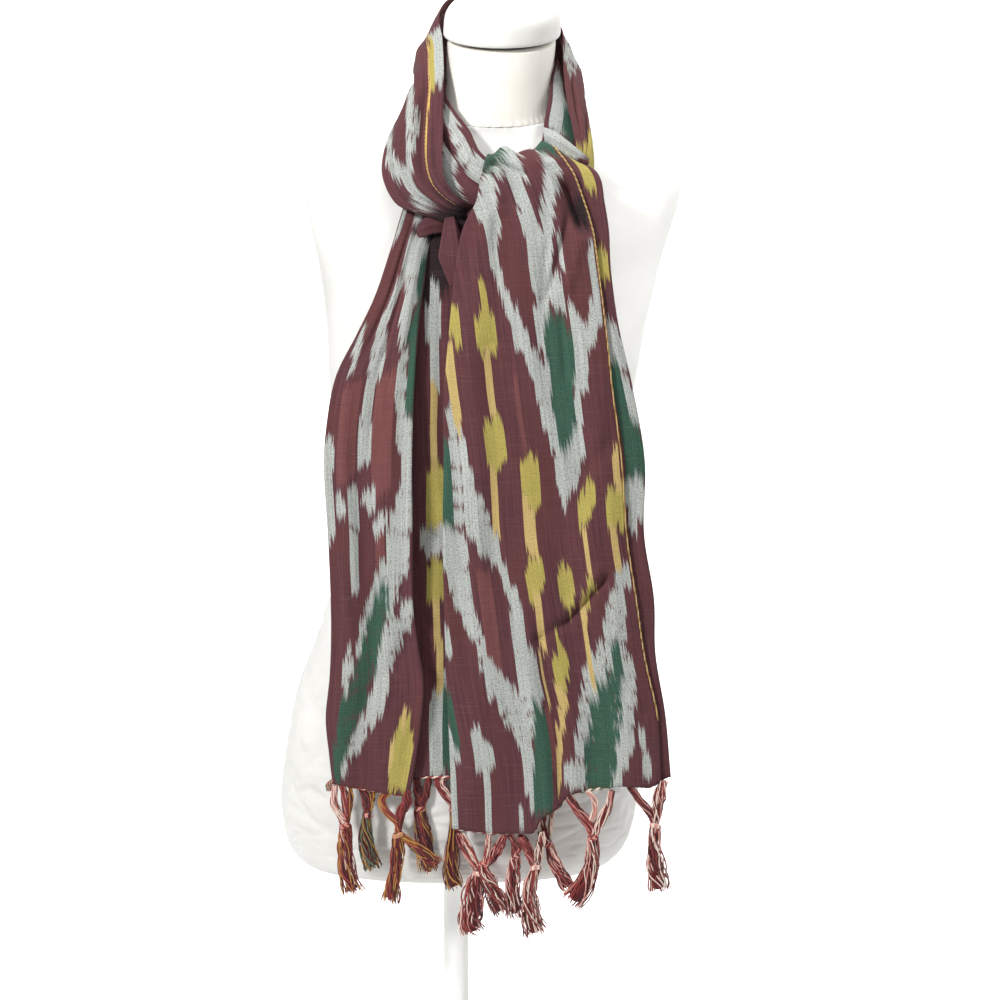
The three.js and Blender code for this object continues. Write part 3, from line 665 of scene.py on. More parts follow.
# Front tail: across from its free selvedge, along from its lowest hem; 400 lies on its right fold.
FRONT_CHART = {
    # Painted shade in the deep hollow beside the free selvedge, under the throat.
    Hue.DUSK: ((-2, 9, 592, 585, 612, 616), (8, 17, 584, 592, 614, 602)),
    GREY: (
        (31, 46, 652, 656, 705, 705), (40, 54, 636, 644, 664, 662), (45, 66, 626, 634, 650, 648),
        (66, 75, 630, 634, 650, 648), (74, 81, 622, 616, 646, 642), (80, 86, 606, 596, 640, 634),
        (84, 93, 586, 566, 636, 626), (92, 101, 536, 546, 618, 614), (100, 106, 582, 590, 610, 616),
        (90, 97, 514, 520, 548, 546), (86, 93, 500, 504, 530, 526), (80, 91, 478, 496, 512, 518),
        (81, 89, 466, 474, 500, 506), (76, 83, 460, 468, 506, 500), (72, 80, 446, 456, 492, 496),
        (66, 75, 428, 438, 466, 474), (55, 68, 440, 432, 462, 456), (51, 57, 556, 566, 644, 640),
        (56, 63, 590, 600, 632, 642), (50, 63, 506, 518, 606, 600), (62, 66, 576, 584, 604, 598),
        (60, 67, 462, 478, 520, 504), (50, 60, 482, 470, 512, 516), (45, 52, 518, 512, 586, 580),
        (40, 47, 556, 544, 602, 596), (35, 42, 582, 570, 618, 606), (30, 37, 598, 590, 626, 616),
        (24, 31, 610, 602, 638, 628), (17, 26, 620, 612, 654, 640), (9, 19, 636, 628, 662, 654),
        (30, 35, 544, 546, 580, 576), (35, 47, 500, 508, 546, 536), (3, 9, 498, 500, 572, 562),
        (7, 14, 486, 492, 524, 512), (9, 22, 478, 462, 500, 496), (20, 34, 444, 452, 500, 520),
        (22, 37, 424, 432, 462, 470), (31, 39, 400, 398, 440, 430), (34, 43, 366, 360, 414, 404),
        (58, 72, 412, 420, 456, 458), (57, 70, 380, 394, 426, 422), (55, 66, 364, 376, 400, 396),
        (52, 64, 328, 336, 380, 374), (54, 59, 316, 316, 340, 340), (40, 53, 344, 338, 394, 380),
        (47, 54, 338, 330, 372, 372), (148, 160, 384, 384, 426, 420), (146, 162, 350, 360, 388, 394),
        (141, 163, 328, 340, 358, 366), (133, 163, 310, 322, 336, 348), (127, 164, 298, 300, 318, 330),
        (122, 150, 258, 288, 302, 310), (117, 132, 250, 266, 270, 286), (117, 124, 230, 236, 264, 262),
        (111, 119, 208, 218, 240, 246), (152, 178, 258, 254, 302, 308), (155, 177, 228, 240, 268, 262),
        (155, 173, 212, 220, 242, 238), (151, 167, 196, 204, 226, 222), (149, 162, 186, 194, 212, 214),
        (147, 157, 166, 172, 198, 196), (134, 156, 146, 156, 164, 180), (124, 151, 136, 140, 148, 168),
        (120, 152, 128, 132, 142, 152), (105, 143, 116, 118, 136, 140), (112, 140, 98, 104, 124, 122),
        (114, 135, 92, 90, 110, 106), (118, 130, 40, 34, 98, 96), (120, 126, 16, 26, 46, 50),
        (107, 120, 174, 176, 226, 228), (101, 120, 126, 130, 184, 188), (157, 176, 66, 62, 98, 106),
        (162, 170, -4, -4, 72, 72), (181, 187, 170, 178, 208, 216), (190, 197, 72, 76, 108, 100),
        (195, 203, -6, -6, 80, 86), (131, 137, 2, 2, 24, 30), (3, 17, 246, 238, 268, 260),
        (11, 27, 214, 218, 250, 240), (13, 31, 200, 204, 226, 228), (14, 36, 184, 188, 212, 214),
        (16, 45, 168, 172, 194, 192), (10, 24, 156, 150, 172, 180), (24, 53, 158, 160, 178, 180),
        (13, 30, 138, 134, 162, 166), (26, 61, 140, 144, 164, 166), (16, 34, 124, 118, 146, 150),
        (30, 67, 124, 128, 146, 150), (21, 40, 102, 94, 130, 134), (34, 73, 110, 112, 132, 136),
        (24, 42, 78, 72, 112, 118), (38, 78, 86, 90, 118, 122), (30, 47, 64, 58, 92, 92),
        (66, 82, 66, 74, 98, 100), (71, 93, 40, 46, 76, 74), (38, 50, 40, 40, 72, 72),
        (8, 17, 56, 52, 74, 84), (14, 19, 74, 84, 100, 110), (385, 402, 452, 450, 498, 492),
        (383, 402, 320, 302, 352, 350), (388, 397, 298, 294, 330, 330), (389, 393, 330, 330, 364, 360),
        (394, 402, 396, 394, 446, 440),
    ),
    GREEN: (
        (46, 54, 658, 652, 705, 705), (53, 61, 650, 646, 704, 700), (60, 69, 644, 641, 664, 656),
        (68, 82, 640, 634, 654, 644), (2, 14, 656, 658, 700, 700), (37, 47, 394, 386, 500, 506),
        (47, 57, 378, 374, 504, 496), (33, 38, 446, 428, 484, 500), (56, 60, 400, 408, 430, 424),
        (56, 60, 450, 458, 490, 480), (163, 174, 302, 304, 394, 352), (103, 112, 26, 18, 120, 132),
        (111, 121, 16, 20, 130, 66), (187, 194, 84, 84, 146, 140), (22, 30, 150, 144, 200, 186),
        (28, 40, 136, 128, 160, 168), (31, 51, 118, 112, 142, 154), (34, 61, 102, 98, 128, 134),
        (37, 67, 82, 84, 112, 116), (41, 72, 58, 58, 92, 98), (46, 72, 40, 40, 70, 70),
        (382, 394, 344, 350, 456, 462), (393, 402, 352, 346, 402, 396),
    ),
    OLIVE: (
        (104, 112, 470, 462, 502, 512), (110, 124, 464, 468, 512, 500), (108, 114, 500, 500, 530, 534),
        (137, 148, 474, 480, 514, 512), (115, 128, 352, 356, 412, 396), (108, 117, 364, 356, 402, 410),
        (79, 89, 320, 314, 366, 380), (87, 96, 314, 326, 374, 362), (83, 91, 252, 238, 274, 274),
        (89, 101, 234, 226, 276, 262), (57, 66, 234, 214, 256, 268), (64, 73, 212, 236, 268, 254),
        (27, 36, 322, 304, 344, 348), (34, 43, 306, 296, 346, 328), (36, 44, 238, 234, 250, 254),
        (43, 50, 228, 222, 240, 236), (0, 9, 300, 304, 346, 342), (8, 18, 298, 296, 342, 334),
        (72, 81, 160, 148, 176, 204), (79, 88, 136, 144, 184, 176), (384, 396, 620, 620, 660, 660),
        (388, 400, 536, 536, 564, 560),
    ),
    Hue.STRAW: (
        (112, 119, 404, 404, 470, 470), (146, 154, 402, 388, 478, 478), (118, 125, 294, 294, 358, 358),
        (85, 92, 270, 270, 322, 322), (93, 96, 274, 274, 334, 330), (91, 97, 180, 180, 240, 240),
        (38, 41, 250, 250, 300, 300), (48, 55, 206, 204, 232, 228), (50, 56, 146, 146, 210, 210),
        (3, 8, 340, 340, 380, 374), (9, 16, 260, 256, 302, 300), (82, 90, 122, 120, 148, 152),
        (88, 93, 100, 100, 128, 126), (92, 96, 78, 78, 106, 106), (95, 99, 42, 42, 88, 88),
        (97, 100, 128, 128, 184, 184),
    ),
    ROSE: ((89, 92, 372, 372, 448, 448), (100, 103, 58, 58, 130, 130), (134, 148, 150, 166, 262, 258)),
}

# Left tail: across from its left fold, on a width of 90, along from its hem.
LEFT_CHART = {
    # Painted shade at the top of the right fold, in the gap beside the throat tuck.
    Hue.DUSK: ((79, 96, 520, 512, 580, 580),),
    GREY: (
        (33, 56, 554, 556, 574, 574), (-2, 6, 536, 552, 580, 584), (54, 92, 563, 567, 578, 578),
        (38, 92, 500, 500, 550, 546), (43, 50, 492, 500, 508, 508), (56, 92, 484, 480, 504, 504),
        (59, 67, 460, 452, 490, 494), (64, 80, 442, 446, 496, 494), (78, 86, 470, 480, 500, 500),
        (68, 77, 434, 440, 456, 452), (73, 84, 408, 424, 440, 434), (70, 84, 386, 392, 428, 414),
        (73, 85, 370, 368, 398, 394), (75, 92, 346, 350, 380, 374), (78, 92, 332, 334, 362, 358),
        (33, 44, 470, 480, 504, 504), (30, 42, 460, 462, 484, 484), (26, 41, 444, 452, 470, 474),
        (28, 48, 426, 430, 460, 448), (32, 52, 410, 404, 438, 430), (36, 46, 362, 362, 420, 418),
        (32, 48, 316, 330, 372, 370), (0, 9, 440, 430, 458, 448), (6, 14, 428, 420, 444, 436),
        (11, 18, 408, 412, 430, 422), (82, 92, 294, 296, 346, 346), (74, 92, 274, 276, 304, 304),
        (69, 92, 256, 258, 284, 288), (48, 67, 252, 266, 266, 284), (63, 90, 222, 226, 264, 264),
        (55, 90, 210, 216, 234, 238), (47, 82, 194, 204, 220, 224), (42, 78, 180, 192, 206, 210),
        (36, 47, 162, 174, 190, 192), (28, 38, 144, 158, 172, 176), (24, 32, 130, 140, 156, 156),
        (12, 22, 110, 120, 134, 144), (15, 20, 134, 140, 152, 154), (14, 18, 84, 96, 116, 124),
        (62, 71, 170, 176, 198, 202), (-2, 9, 306, 318, 354, 344), (-2, 6, 248, 262, 322, 312),
        (36, 52, 284, 278, 296, 304), (8, 19, 274, 272, 298, 294), (23, 34, 260, 262, 308, 302),
        (21, 30, 194, 200, 272, 260), (76, 92, 170, 176, 190, 200), (58, 90, 154, 162, 174, 184),
        (50, 76, 136, 146, 162, 168), (43, 64, 116, 126, 144, 150), (41, 57, 94, 100, 124, 128),
        (38, 54, 74, 80, 102, 106), (30, 48, 60, 70, 82, 94), (22, 40, 44, 54, 66, 76),
        (16, 33, 34, 42, 52, 60), (8, 18, 16, 24, 36, 42),
    ),
    GREEN: (
        (77, 92, 434, 438, 456, 490), (80, 92, 484, 480, 530, 530), (83, 92, 374, 370, 448, 448),
        (54, 67, 190, 194, 208, 210), (46, 65, 172, 180, 198, 198), (38, 60, 152, 166, 180, 184),
        (30, 53, 130, 146, 162, 170), (22, 47, 110, 126, 136, 152), (17, 43, 94, 112, 120, 132),
        (12, 38, 64, 84, 102, 114), (9, 28, 44, 60, 78, 86), (3, 19, 22, 40, 52, 64),
        (0, 9, 12, 18, 30, 38),
    ),
    OLIVE: ((66, 73, 4, 4, 58, 74), (71, 81, 4, 4, 82, 84), (80, 87, 4, 4, 78, 58)),
    Hue.STRAW: ((64, 68, 26, 26, 50, 58), (72, 76, 62, 62, 92, 94)),
    ROSE: ((48, 70, 290, 300, 400, 420), (12, 30, 300, 310, 400, 410), (50, 62, 222, 236, 262, 270)),
}

# Inner tail: across from 70 mm left of the form's foot, along from its hem.
INNER_CHART = {
    # Painted shade at the top, in the hollow behind the left tail and the tuck.
    Hue.DUSK: ((38, 66, 470, 486, 580, 580),),
    GREY: (
        (43, 60, 444, 440, 478, 480), (48, 57, 434, 434, 498, 494), (49, 58, 394, 394, 442, 440),
        (38, 66, 234, 236, 264, 268), (58, 69, 96, 104, 120, 122), (47, 61, 16, 16, 98, 104),
        (70, 76, 16, 16, 62, 70), (2, 24, 120, 140, 300, 320), (76, 100, 300, 320, 420, 440),
        (78, 96, 60, 80, 220, 240),
    ),
    GREEN: ((60, 71, 24, 26, 108, 112), (8, 22, 330, 340, 420, 440)),
    OLIVE: (
        (45, 54, 262, 262, 316, 330), (52, 63, 262, 268, 328, 312), (45, 54, 192, 184, 224, 234),
        (52, 62, 184, 194, 234, 222),
    ),
    Hue.STRAW: ((48, 54, 320, 320, 400, 400), (51, 58, 146, 146, 190, 190), (53, 60, 100, 100, 150, 150)),
}

# Collar: across from its neck edge, on a width of 80, along from the throat up the left of the neck, round
# the back and down the right to the throat.
COLLAR_CHART = {
    # Painted shade at the throat end, where the strand goes down into the knot.
    Hue.DUSK: ((20, 50, -10, -10, 28, 34), (48, 96, -10, -10, 34, 42)),
    GREY: (
        (44, 58, 42, 54, 72, 92), (45, 82, 40, 42, 54, 54), (48, 71, 68, 84, 86, 104),
        (60, 78, 86, 104, 108, 124), (68, 84, 108, 130, 130, 150), (75, 84, 134, 148, 152, 160),
        (37, 48, 72, 70, 96, 92), (32, 44, 94, 88, 118, 112), (31, 47, 110, 116, 134, 136),
        (32, 50, 128, 134, 142, 150), (40, 53, 140, 148, 160, 166), (46, 57, 156, 164, 176, 180),
        (51, 62, 172, 182, 190, 196), (59, 69, 188, 196, 206, 212), (66, 76, 202, 214, 224, 230),
        (73, 84, 220, 234, 250, 256), (0, 16, 154, 158, 214, 220), (8, 22, 300, 312, 360, 370),
        (40, 58, 320, 332, 388, 400), (60, 78, 384, 392, 440, 450), (12, 40, 426, 422, 446, 444),
        (5, 38, 444, 440, 474, 466), (-2, 30, 468, 466, 486, 484), (6, 23, 482, 480, 496, 494),
        (39, 44, 426, 426, 450, 450),
    ),
    GREEN: ((22, 40, 306, 318, 372, 386), (52, 68, 300, 312, 350, 362)),
    OLIVE: (
        (11, 19, 150, 150, 214, 206), (66, 84, 516, 498, 578, 578), (50, 68, 540, 520, 586, 580),
        (25, 52, 562, 546, 588, 586), (0, 27, 572, 560, 590, 588), (58, 70, 270, 276, 312, 306),
        (62, 67, 312, 312, 360, 360),
    ),
    Hue.GOLD: (
        (20, 23, 56, 56, 132, 132), (18.5, 21.5, 130, 130, 170, 170), (20, 23, 168, 168, 196, 196),
        (18, 21, 194, 194, 214, 214), (15.5, 18.5, 212, 212, 240, 240),
    ),
}

# The rest: across from the neck edge of each, along from its start.
CROSSING_CHART = {
    GREY: (
        (4, 31, 66, 66, 100, 102), (9, 28, 94, 96, 122, 120), (8, 22, 114, 116, 142, 136),
        (4, 17, 134, 132, 168, 156), (30, 42, 114, 102, 142, 136), (40, 57, 104, 90, 132, 120),
    ),
}
RIGHT_INNER_CHART = {GREY: ((4, 24, 10, 8, 90, 86),), GREEN: ((18, 30, 44, 48, 84, 88),)}
ROLL_CHART = {GREY: ((-2, 20, 8, 4, 60, 60),)}
UNDYED: dict[Hue, Sequence[Sequence[float]]] = {}


# ---------------------------------------------------------------- cloth

AHEAD = 0.01  # a path's direction is read between points this far on either side, as shares of it
WHOLE_FOLDS = ((21.0, 130.0, 1.0), (33.0, 55.0, 0.5))  # cells across and along in mm, and their share
FINE_FOLDS = ((9.0, 46.0, 1.0), (30.0, 9.0, 0.5), (7.0, 14.0, 0.45))
FINE_REACH = (-0.6, 0.5)  # the least and most that fine folds push, as shares of the step between layers
FRONT = 0.5  # a point whose layer is less than this is in the front layer
SECOND = 1.5  # and from there up to this, in the second
HANGING = "y z left right"
STRAND = "inX inY inZ outX outY outZ belly groove"


class Measure(Enum):
    """Where a hanging tail's places across are measured from."""

    SELVEDGE = "its free selvedge"
    SHARE = "its left fold, on the chart's own width"
    AXIS = "a fixed place beside the form's foot"


@dataclass(frozen=True)
class Stretch:
    """One stretch of the scarf: its name, the solids that it dresses, and the cut that it comes from.

    Its dents and its slack, the depth of its soft folds, move all of its layers together. Its creases are in
    the front layer alone, and its rumple is the depth of fine folds that each layer has for itself.
    """

    name: str
    nodes: tuple[str, ...]
    dye: Ikat
    flat: tuple[float, float]
    rests_on: tuple[str, ...]
    held: str = "draped"
    thickness: float = 0.9
    rows: int = 200
    dents: tuple[Crease, ...] = ()
    creases: tuple[Crease, ...] = ()
    slack: float = 1.2
    rumple: float = 0.5
    seed: int = 3

    def surface(self) -> tuple[Array, Array, Array]:
        """Works out the stretch's points and flat places, in metres, and each column's layer."""
        raise NotImplementedError

    def pushed(self, lie: Array, uv: Array, layer: Array, step: float) -> Array:
        """How far back the cloth is pushed from its smooth lie.

        Args:
            lie: Places across and along on the front layer, for every layer alike, in millimetres.
            uv: Places on the flat cloth, in millimetres.
            layer: Each column's layer.
            step: The distance between layers.

        Returns:
            A depth for each point, in millimetres.
        """

        def uneven(place: Array, folds: Sequence[tuple[float, float, float]], seeds: Sequence[int]) -> Array:
            """Adds up the folds of each cell size."""
            return sum(
                share * soft_noise(place[..., 0], place[..., 1], (across, along), self.seed + seed)
                for (across, along, share), seed in zip(folds, seeds)
            )

        deep = self.slack * uneven(lie, WHOLE_FOLDS, (0, 4))
        for dent in self.dents:
            deep = deep + dent.pressed(lie[..., 0], lie[..., 1])
        fine = self.rumple * uneven(uv, FINE_FOLDS, (1, 2, 3))
        for crease in self.creases:
            fine = fine + crease.pressed(uv[..., 0], uv[..., 1]) * (layer < FRONT)
        return deep + np.clip(fine, *(share * step for share in FINE_REACH))

    def build(self, with_pieces: Sequence[Object] = ()) -> Object:
        """Makes the piece, gives it thickness and its dye with painted shade, and hides the solids that it
        stands for.

        Args:
            with_pieces: The fringe and edges that go with it; not used.

        Returns:
            The finished piece.
        """
        points, uv, _ = self.surface()
        faces = grid_faces(*points.shape[:2]).tolist()
        piece = on_body(make_mesh(self.name, points, faces, self.dye.make(), uv), "ikat_cloth", *self.nodes)
        wall = piece.modifiers.new("cloth_thickness", "SOLIDIFY")
        wall.thickness = self.thickness * MM
        wall.offset = 0.0
        LOG.info("%s: %d by %d points", self.name, *points.shape[:2])
        return piece

    def seam(self, marks: Sequence[tuple[float, float]], proud: float = 0.5) -> Array:
        """Follows a line on the front layer of the cloth.

        Args:
            marks: Places along and across on the flat cloth, in millimetres, rising along.
            proud: How far ahead of the cloth the line lies.

        Returns:
            Points by three, in millimetres.
        """
        points, uv, layer = self.surface()
        last = int(np.count_nonzero(layer[0] < FRONT)) - 1
        v, near, far = uv[:, 0, 1] / MM, uv[:, 0, 0] / MM, uv[:, last, 0] / MM
        along, across = np.array(marks, float).T
        rows = np.nonzero((v >= along[0]) & (v <= along[-1]))[0]
        place = (np.interp(v[rows], along, across) - near[rows]) / (far[rows] - near[rows]) * last
        column = np.clip(np.floor(place).astype(int), 0, last - 1)
        share = (place - column)[:, None]
        line = points[rows, column] * (1 - share) + points[rows, column + 1] * share
        return line / MM - np.array([0.0, proud, 0.0])


@dataclass(frozen=True)
class HangingTail(Stretch):
    """A tail that hangs: level sections, folded to and fro between its left and right edges.

    The hem and the crest are how far the lower and the upper edge drop across the tail. A ridge is its place
    across, its slant, its width and its rise. The foot is the chart's place along where the hem has no drop.
    """

    table: Table = Table(HANGING, ())
    folds: Folds = Folds((0.0, 1.0), (0,), (60,))
    hem: Steps = Steps()
    crest: Steps = Steps()
    ridges: tuple[tuple[float, float, float, float], ...] = ()
    measure: Measure = Measure.SHARE
    chart_width: float = 90.0
    axis_at: float = 70.0
    axis_turn: float = 120.0
    foot: float = 0.0
    hem_from: float = 0.72

    def across(self, row: dict[str, Array], cut: Section, width: Array) -> tuple[Array, Array]:
        """Each point's place across, in millimetres: as seen from the front, and on the flat cloth."""
        x, wide = cut.x, width[:, None]
        if self.measure is Measure.AXIS:
            lie = row["left"][:, None] + x + self.axis_at
            return lie, np.where(cut.layer < FRONT, lie, self.axis_turn - lie)
        if self.measure is Measure.SHARE:
            lie = self.chart_width * (x / wide)
            return lie, lie
        first = row["edge"][:, None] * wide
        second = first + x + (self.chart_width - first - wide) * smoothstep(x / wide, 0.0, 0.75)
        third = self.chart_width + wide - x
        flat = np.where(cut.layer < FRONT, first - x, np.where(cut.layer < SECOND, second, third))
        return first - x, flat

    def surface(self) -> tuple[Array, Array, Array]:
        """Works out the tail's points and flat places.

        A point is (left + x, y - dz * back, z + dy * back - drop), where (dy, dz) is the path's direction and
        back is how far the point stands behind the path.
        """
        t = np.linspace(0.0, 1.0, self.rows)
        row = self.table.at(t)
        ahead, behind = self.table.at(t + AHEAD), self.table.at(t - AHEAD)
        dy, dz = ahead["y"] - behind["y"], ahead["z"] - behind["z"]
        dy, dz = dy / np.hypot(dy, dz), dz / np.hypot(dy, dz)
        width = row["right"] - row["left"]
        cut = self.folds.lay(width, row.get("edge"))
        share = np.clip(cut.x / width[:, None], 0.0, 1.0)
        path = along_path(np.stack([row["y"], row["z"]], -1))
        drop = smoothstep(t, self.hem_from, 1.0)[:, None] * self.hem.at(share)
        if "crest" in row:
            drop = drop + row["crest"][:, None] * self.crest.at(share)
        v = (path[-1] - path)[:, None] - drop + self.foot
        lie, u = self.across(row, cut, width)
        back = np.zeros_like(u) + cut.depth
        for at, slant, wide, rise in self.ridges:
            off = (share - at - slant * t[:, None]) / wide
            back -= rise * np.minimum(1.0, 3.0 * t)[:, None] * np.exp(-off * off)
        uv = np.stack([u, v], -1)
        back = back + self.pushed(np.stack([lie, v], -1), uv, cut.layer, self.folds.step)
        points = np.stack(
            [
                row["left"][:, None] + cut.x,
                row["y"][:, None] - dz[:, None] * back,
                row["z"][:, None] + dy[:, None] * back - drop,
            ],
            -1,
        )
        return points * MM, uv * MM, cut.layer

    def hem_line(self, left: float, right: float, count: int = 120) -> Array:
        """The front layer's lowest edge between two places in X, as points in millimetres."""
        row = {key: float(value[0]) for key, value in self.table.at(np.array([1.0])).items()}
        x = np.linspace(left, right, count)
        share = (x - row["left"]) / (row["right"] - row["left"])
        return np.stack([x, np.full(count, row["y"]), row["z"] - self.hem.at(share)], -1)


@dataclass(frozen=True)
class Strand(Stretch):
    """A strand round the neck: sections from its neck edge to its outer fold, and back again behind.

    Each section bellies out, and may have a groove along it.
    """

    table: Table = Table(STRAND, ())
    folds: Folds = Folds((0.0, 1.0), (0,), (50,))
    chart_width: float = 80.0
    groove_at: float = 0.3
    groove_width: float = 0.12

    def corner(self, t: Array, end: str) -> Array:
        """The strand's neck edge ("in") or outer fold ("out") at shares t of its length."""
        row = self.table.at(t)
        return np.stack([row[end + axis] for axis in "XYZ"], -1)

    def surface(self) -> tuple[Array, Array, Array]:
        """Works out the strand's points and flat places.

        A point is inside + x * across + back * inward, where inward = across x along, and back is the layer's
        depth and the groove less belly * sin(pi * share).
        """
        t = np.linspace(0.0, 1.0, self.rows)
        row = self.table.at(t)
        inside = self.corner(t, "in")
        across = self.corner(t, "out") - inside
        width = np.linalg.norm(across, axis=1)
        across /= width[:, None]
        along = self.corner(t + AHEAD, "in") + self.corner(t + AHEAD, "out")
        along -= self.corner(t - AHEAD, "in") + self.corner(t - AHEAD, "out")
        inward = np.cross(across, along)
        inward /= np.linalg.norm(inward, axis=1, keepdims=True)
        cut = self.folds.lay(width)
        share = np.clip(cut.x / width[:, None], 0.0, 1.0)
        middle = (inside + self.corner(t, "out")) / 2
        lie = np.stack([self.chart_width * share, along_path(middle)[:, None] + np.zeros_like(share)], -1)
        uv = lie.copy()
        uv[..., 0] = self.chart_width * np.where(cut.layer < FRONT, share, 2.0 - share)
        groove = row["groove"][:, None] * np.exp(-(((share - self.groove_at) / self.groove_width) ** 2))
        back = cut.depth + groove - row["belly"][:, None] * np.sin(math.pi * share)
        back = back + self.pushed(lie, uv, cut.layer, self.folds.step)
        points = inside[:, None] + across[:, None] * cut.x[..., None] + inward[:, None] * back[..., None]
        return points * MM, uv * MM, cut.layer


FRONT_TAIL = HangingTail(
    name="front_tail",
    nodes=("scarf_front_tail",),
    dye=Ikat("ikat_front", FRONT_CHART),
    flat=(0.46, 0.7),
    rests_on=("scarf_crossing", "form_torso"),
    held="hung",
    rows=250,
    table=Table(HANGING + " edge crest", (
        (-76, 944, 42, 100, 0.9, 0.4),
        (-77, 955, 38, 101, 0.88, 0.9),
        (-84, 962, 37, 101, 0.86, 1),
        (-97, 962, 35, 104, 0.83, 0.8),
        (-108, 954, 32, 126, 0.74, 0.4),
        (-115, 939, 29, 137, 0.785, 0.1),
        (-120, 915, 25, 141, 0.85, 0),
        (-124, 888, 12, 145, 0.9015, 0),
        (-128, 850, 5, 147, 0.932, 0),
        (-131, 800, 0, 154, 0.935, 0),
        (-133, 740, -5, 168, 0.9, 0),
        (-132, 670, -6, 180, 0.893, 0),
        (-130, 600, -7, 180, 0.922, 0),
        (-128, 535, -6, 190, 0.925, 0),
        (-126, 477, -4, 192, 0.958, 0),
        (-125, 415, -1, 202, 0.974, 0),
        (-124, 352, 1, 208, 0.965, 0),
    )),
    folds=Folds((0.9, 0.0, 1.0, 0.2), (0, 1, 2), (76, 44, 16)),
    hem=Steps(
        (
            (0, 41), (0.17, 46), (0.37, 45), (0.41, 29), (0.49, 20), (0.53, 7), (0.63, 3), (0.78, -2),
            (0.91, 0), (1, -9),
        ),
    ),
    crest=Steps(((0, 5), (0.22, -2), (0.4, 2), (0.62, 2), (0.74, -6), (0.9, 0), (1, 6))),
    ridges=((0.14, 0.02, 0.09, 4), (0.42, -0.04, 0.11, 3), (0.78, 0.05, 0.1, 5)),
    measure=Measure.SELVEDGE,
    chart_width=400.0,
    foot=46.0,
    slack=2.3,
    dents=creases(
        (8, 632, 9, 578, 7, 19.0), (0, 640, 0, 574, 3, -3.0), (-2, 648, 26, 645, 4, -3.0),
        (18, 600, 52, 516, 3.6, 5.0), (8, 590, 34, 520, 6, -3.0), (40, 512, 43, 436, 3.5, 2.6),
        (88, 634, 62, 650, 3.4, 8.0), (62, 650, 42, 634, 3.4, 5.0), (84, 656, 58, 668, 5, -4.0),
        (44, 574, 57, 508, 4, 2.6), (2, 392, 46, 342, 7, 2.2), (22, 256, 50, 227, 3.2, 6.0),
        (44, 233, 72, 205, 3.2, 6.5), (66, 212, 104, 188, 4, 4.5), (26, 264, 66, 222, 4.5, -3.0),
        (94, 205, 97, 20, 5, 3.4), (108, 215, 111, 10, 6, -2.6), (84, 540, 62, 380, 9, -2.4),
        (64, 700, 96, 560, 5, 2.6), (14, 700, 34, 560, 6, -2.4), (44, 705, 56, 640, 4, 2.4),
        (26, 705, 34, 640, 4, 2.2), (150, 420, 172, 120, 10, 2.2), (128, 500, 140, 260, 9, -2.0),
        (176, 240, 182, 10, 7, -2.4), (30, 330, 52, 120, 9, -1.8),
    ),
    creases=creases(
        (42, 84, 74, 70, 3, 1.0), (48, 66, 72, 60, 3, 0.9), (70, 300, 112, 288, 3, 0.9),
        (60, 345, 96, 330, 3, 0.8), (118, 118, 144, 106, 3, 1.1), (20, 150, 36, 118, 3, 1.0),
        (6, 128, 26, 96, 4, 1.3), (98, 480, 126, 470, 3, 1.0), (70, 610, 100, 600, 3, 0.8),
    ),
)
LEFT_TAIL = HangingTail(
    name="left_tail",
    nodes=("scarf_left_tail",),
    dye=Ikat("ikat_left", LEFT_CHART),
    flat=(0.155, 0.575),
    rests_on=("scarf_inner_tail", "form_torso"),
    held="hung",
    rows=220,
    table=Table(HANGING, (
        (-68, 922, -42, -12),
        (-74, 906, -46, -15),
        (-82, 889, -51, -19),
        (-95, 868, -57, -25),
        (-110, 826, -71, -31),
        (-118, 790, -88, -35),
        (-122, 750, -108, -38),
        (-124, 705, -117, -40),
        (-124, 660, -120, -41),
        (-122, 600, -117, -41),
        (-121, 535, -115, -41),
        (-120, 495, -115, -37),
        (-119, 456, -117, -31),
        (-118, 416, -121, -34),
        (-117, 378, -118, -40),
        (-116, 349, -115, -46),
    )),
    folds=Folds((0.45, 1.0, 0.0, 0.4), (1, 0, 1), (20, 56, 18)),
    hem=Steps(((0, -4), (1, 8))),
    ridges=((0.2, 0.0, 0.14, 3), (0.7, 0.0, 0.16, 3)),
    foot=8.0,
    slack=1.5,
    seed=11,
    dents=creases(
        (48, 552, 94, 562, 5, 4.5), (46, 566, 92, 574, 4, -2.5), (50, 520, 46, 330, 5, 2.6),
        (30, 560, 20, 420, 5, 2.2), (40, 560, 34, 470, 4, -2.0), (74, 500, 70, 300, 8, -2.4),
        (18, 400, 26, 180, 8, -2.0), (96, 176, 56, 116, 9, 3.0), (62, 250, 30, 60, 9, 2.2),
        (14, 150, 4, 20, 7, -2.2), (92, 450, 92, 10, 7, -3.0), (95, 575, 95, 440, 8, 4.0),
        (2, 500, 2, 10, 8, 1.5),
    ),
    creases=creases(
        (20, 460, 60, 452, 3, 0.9), (56, 300, 88, 286, 3, 1.0), (8, 240, 40, 228, 3, 0.8),
        (60, 96, 84, 84, 3, 1.0), (30, 530, 60, 520, 3, 0.9),
    ),
)
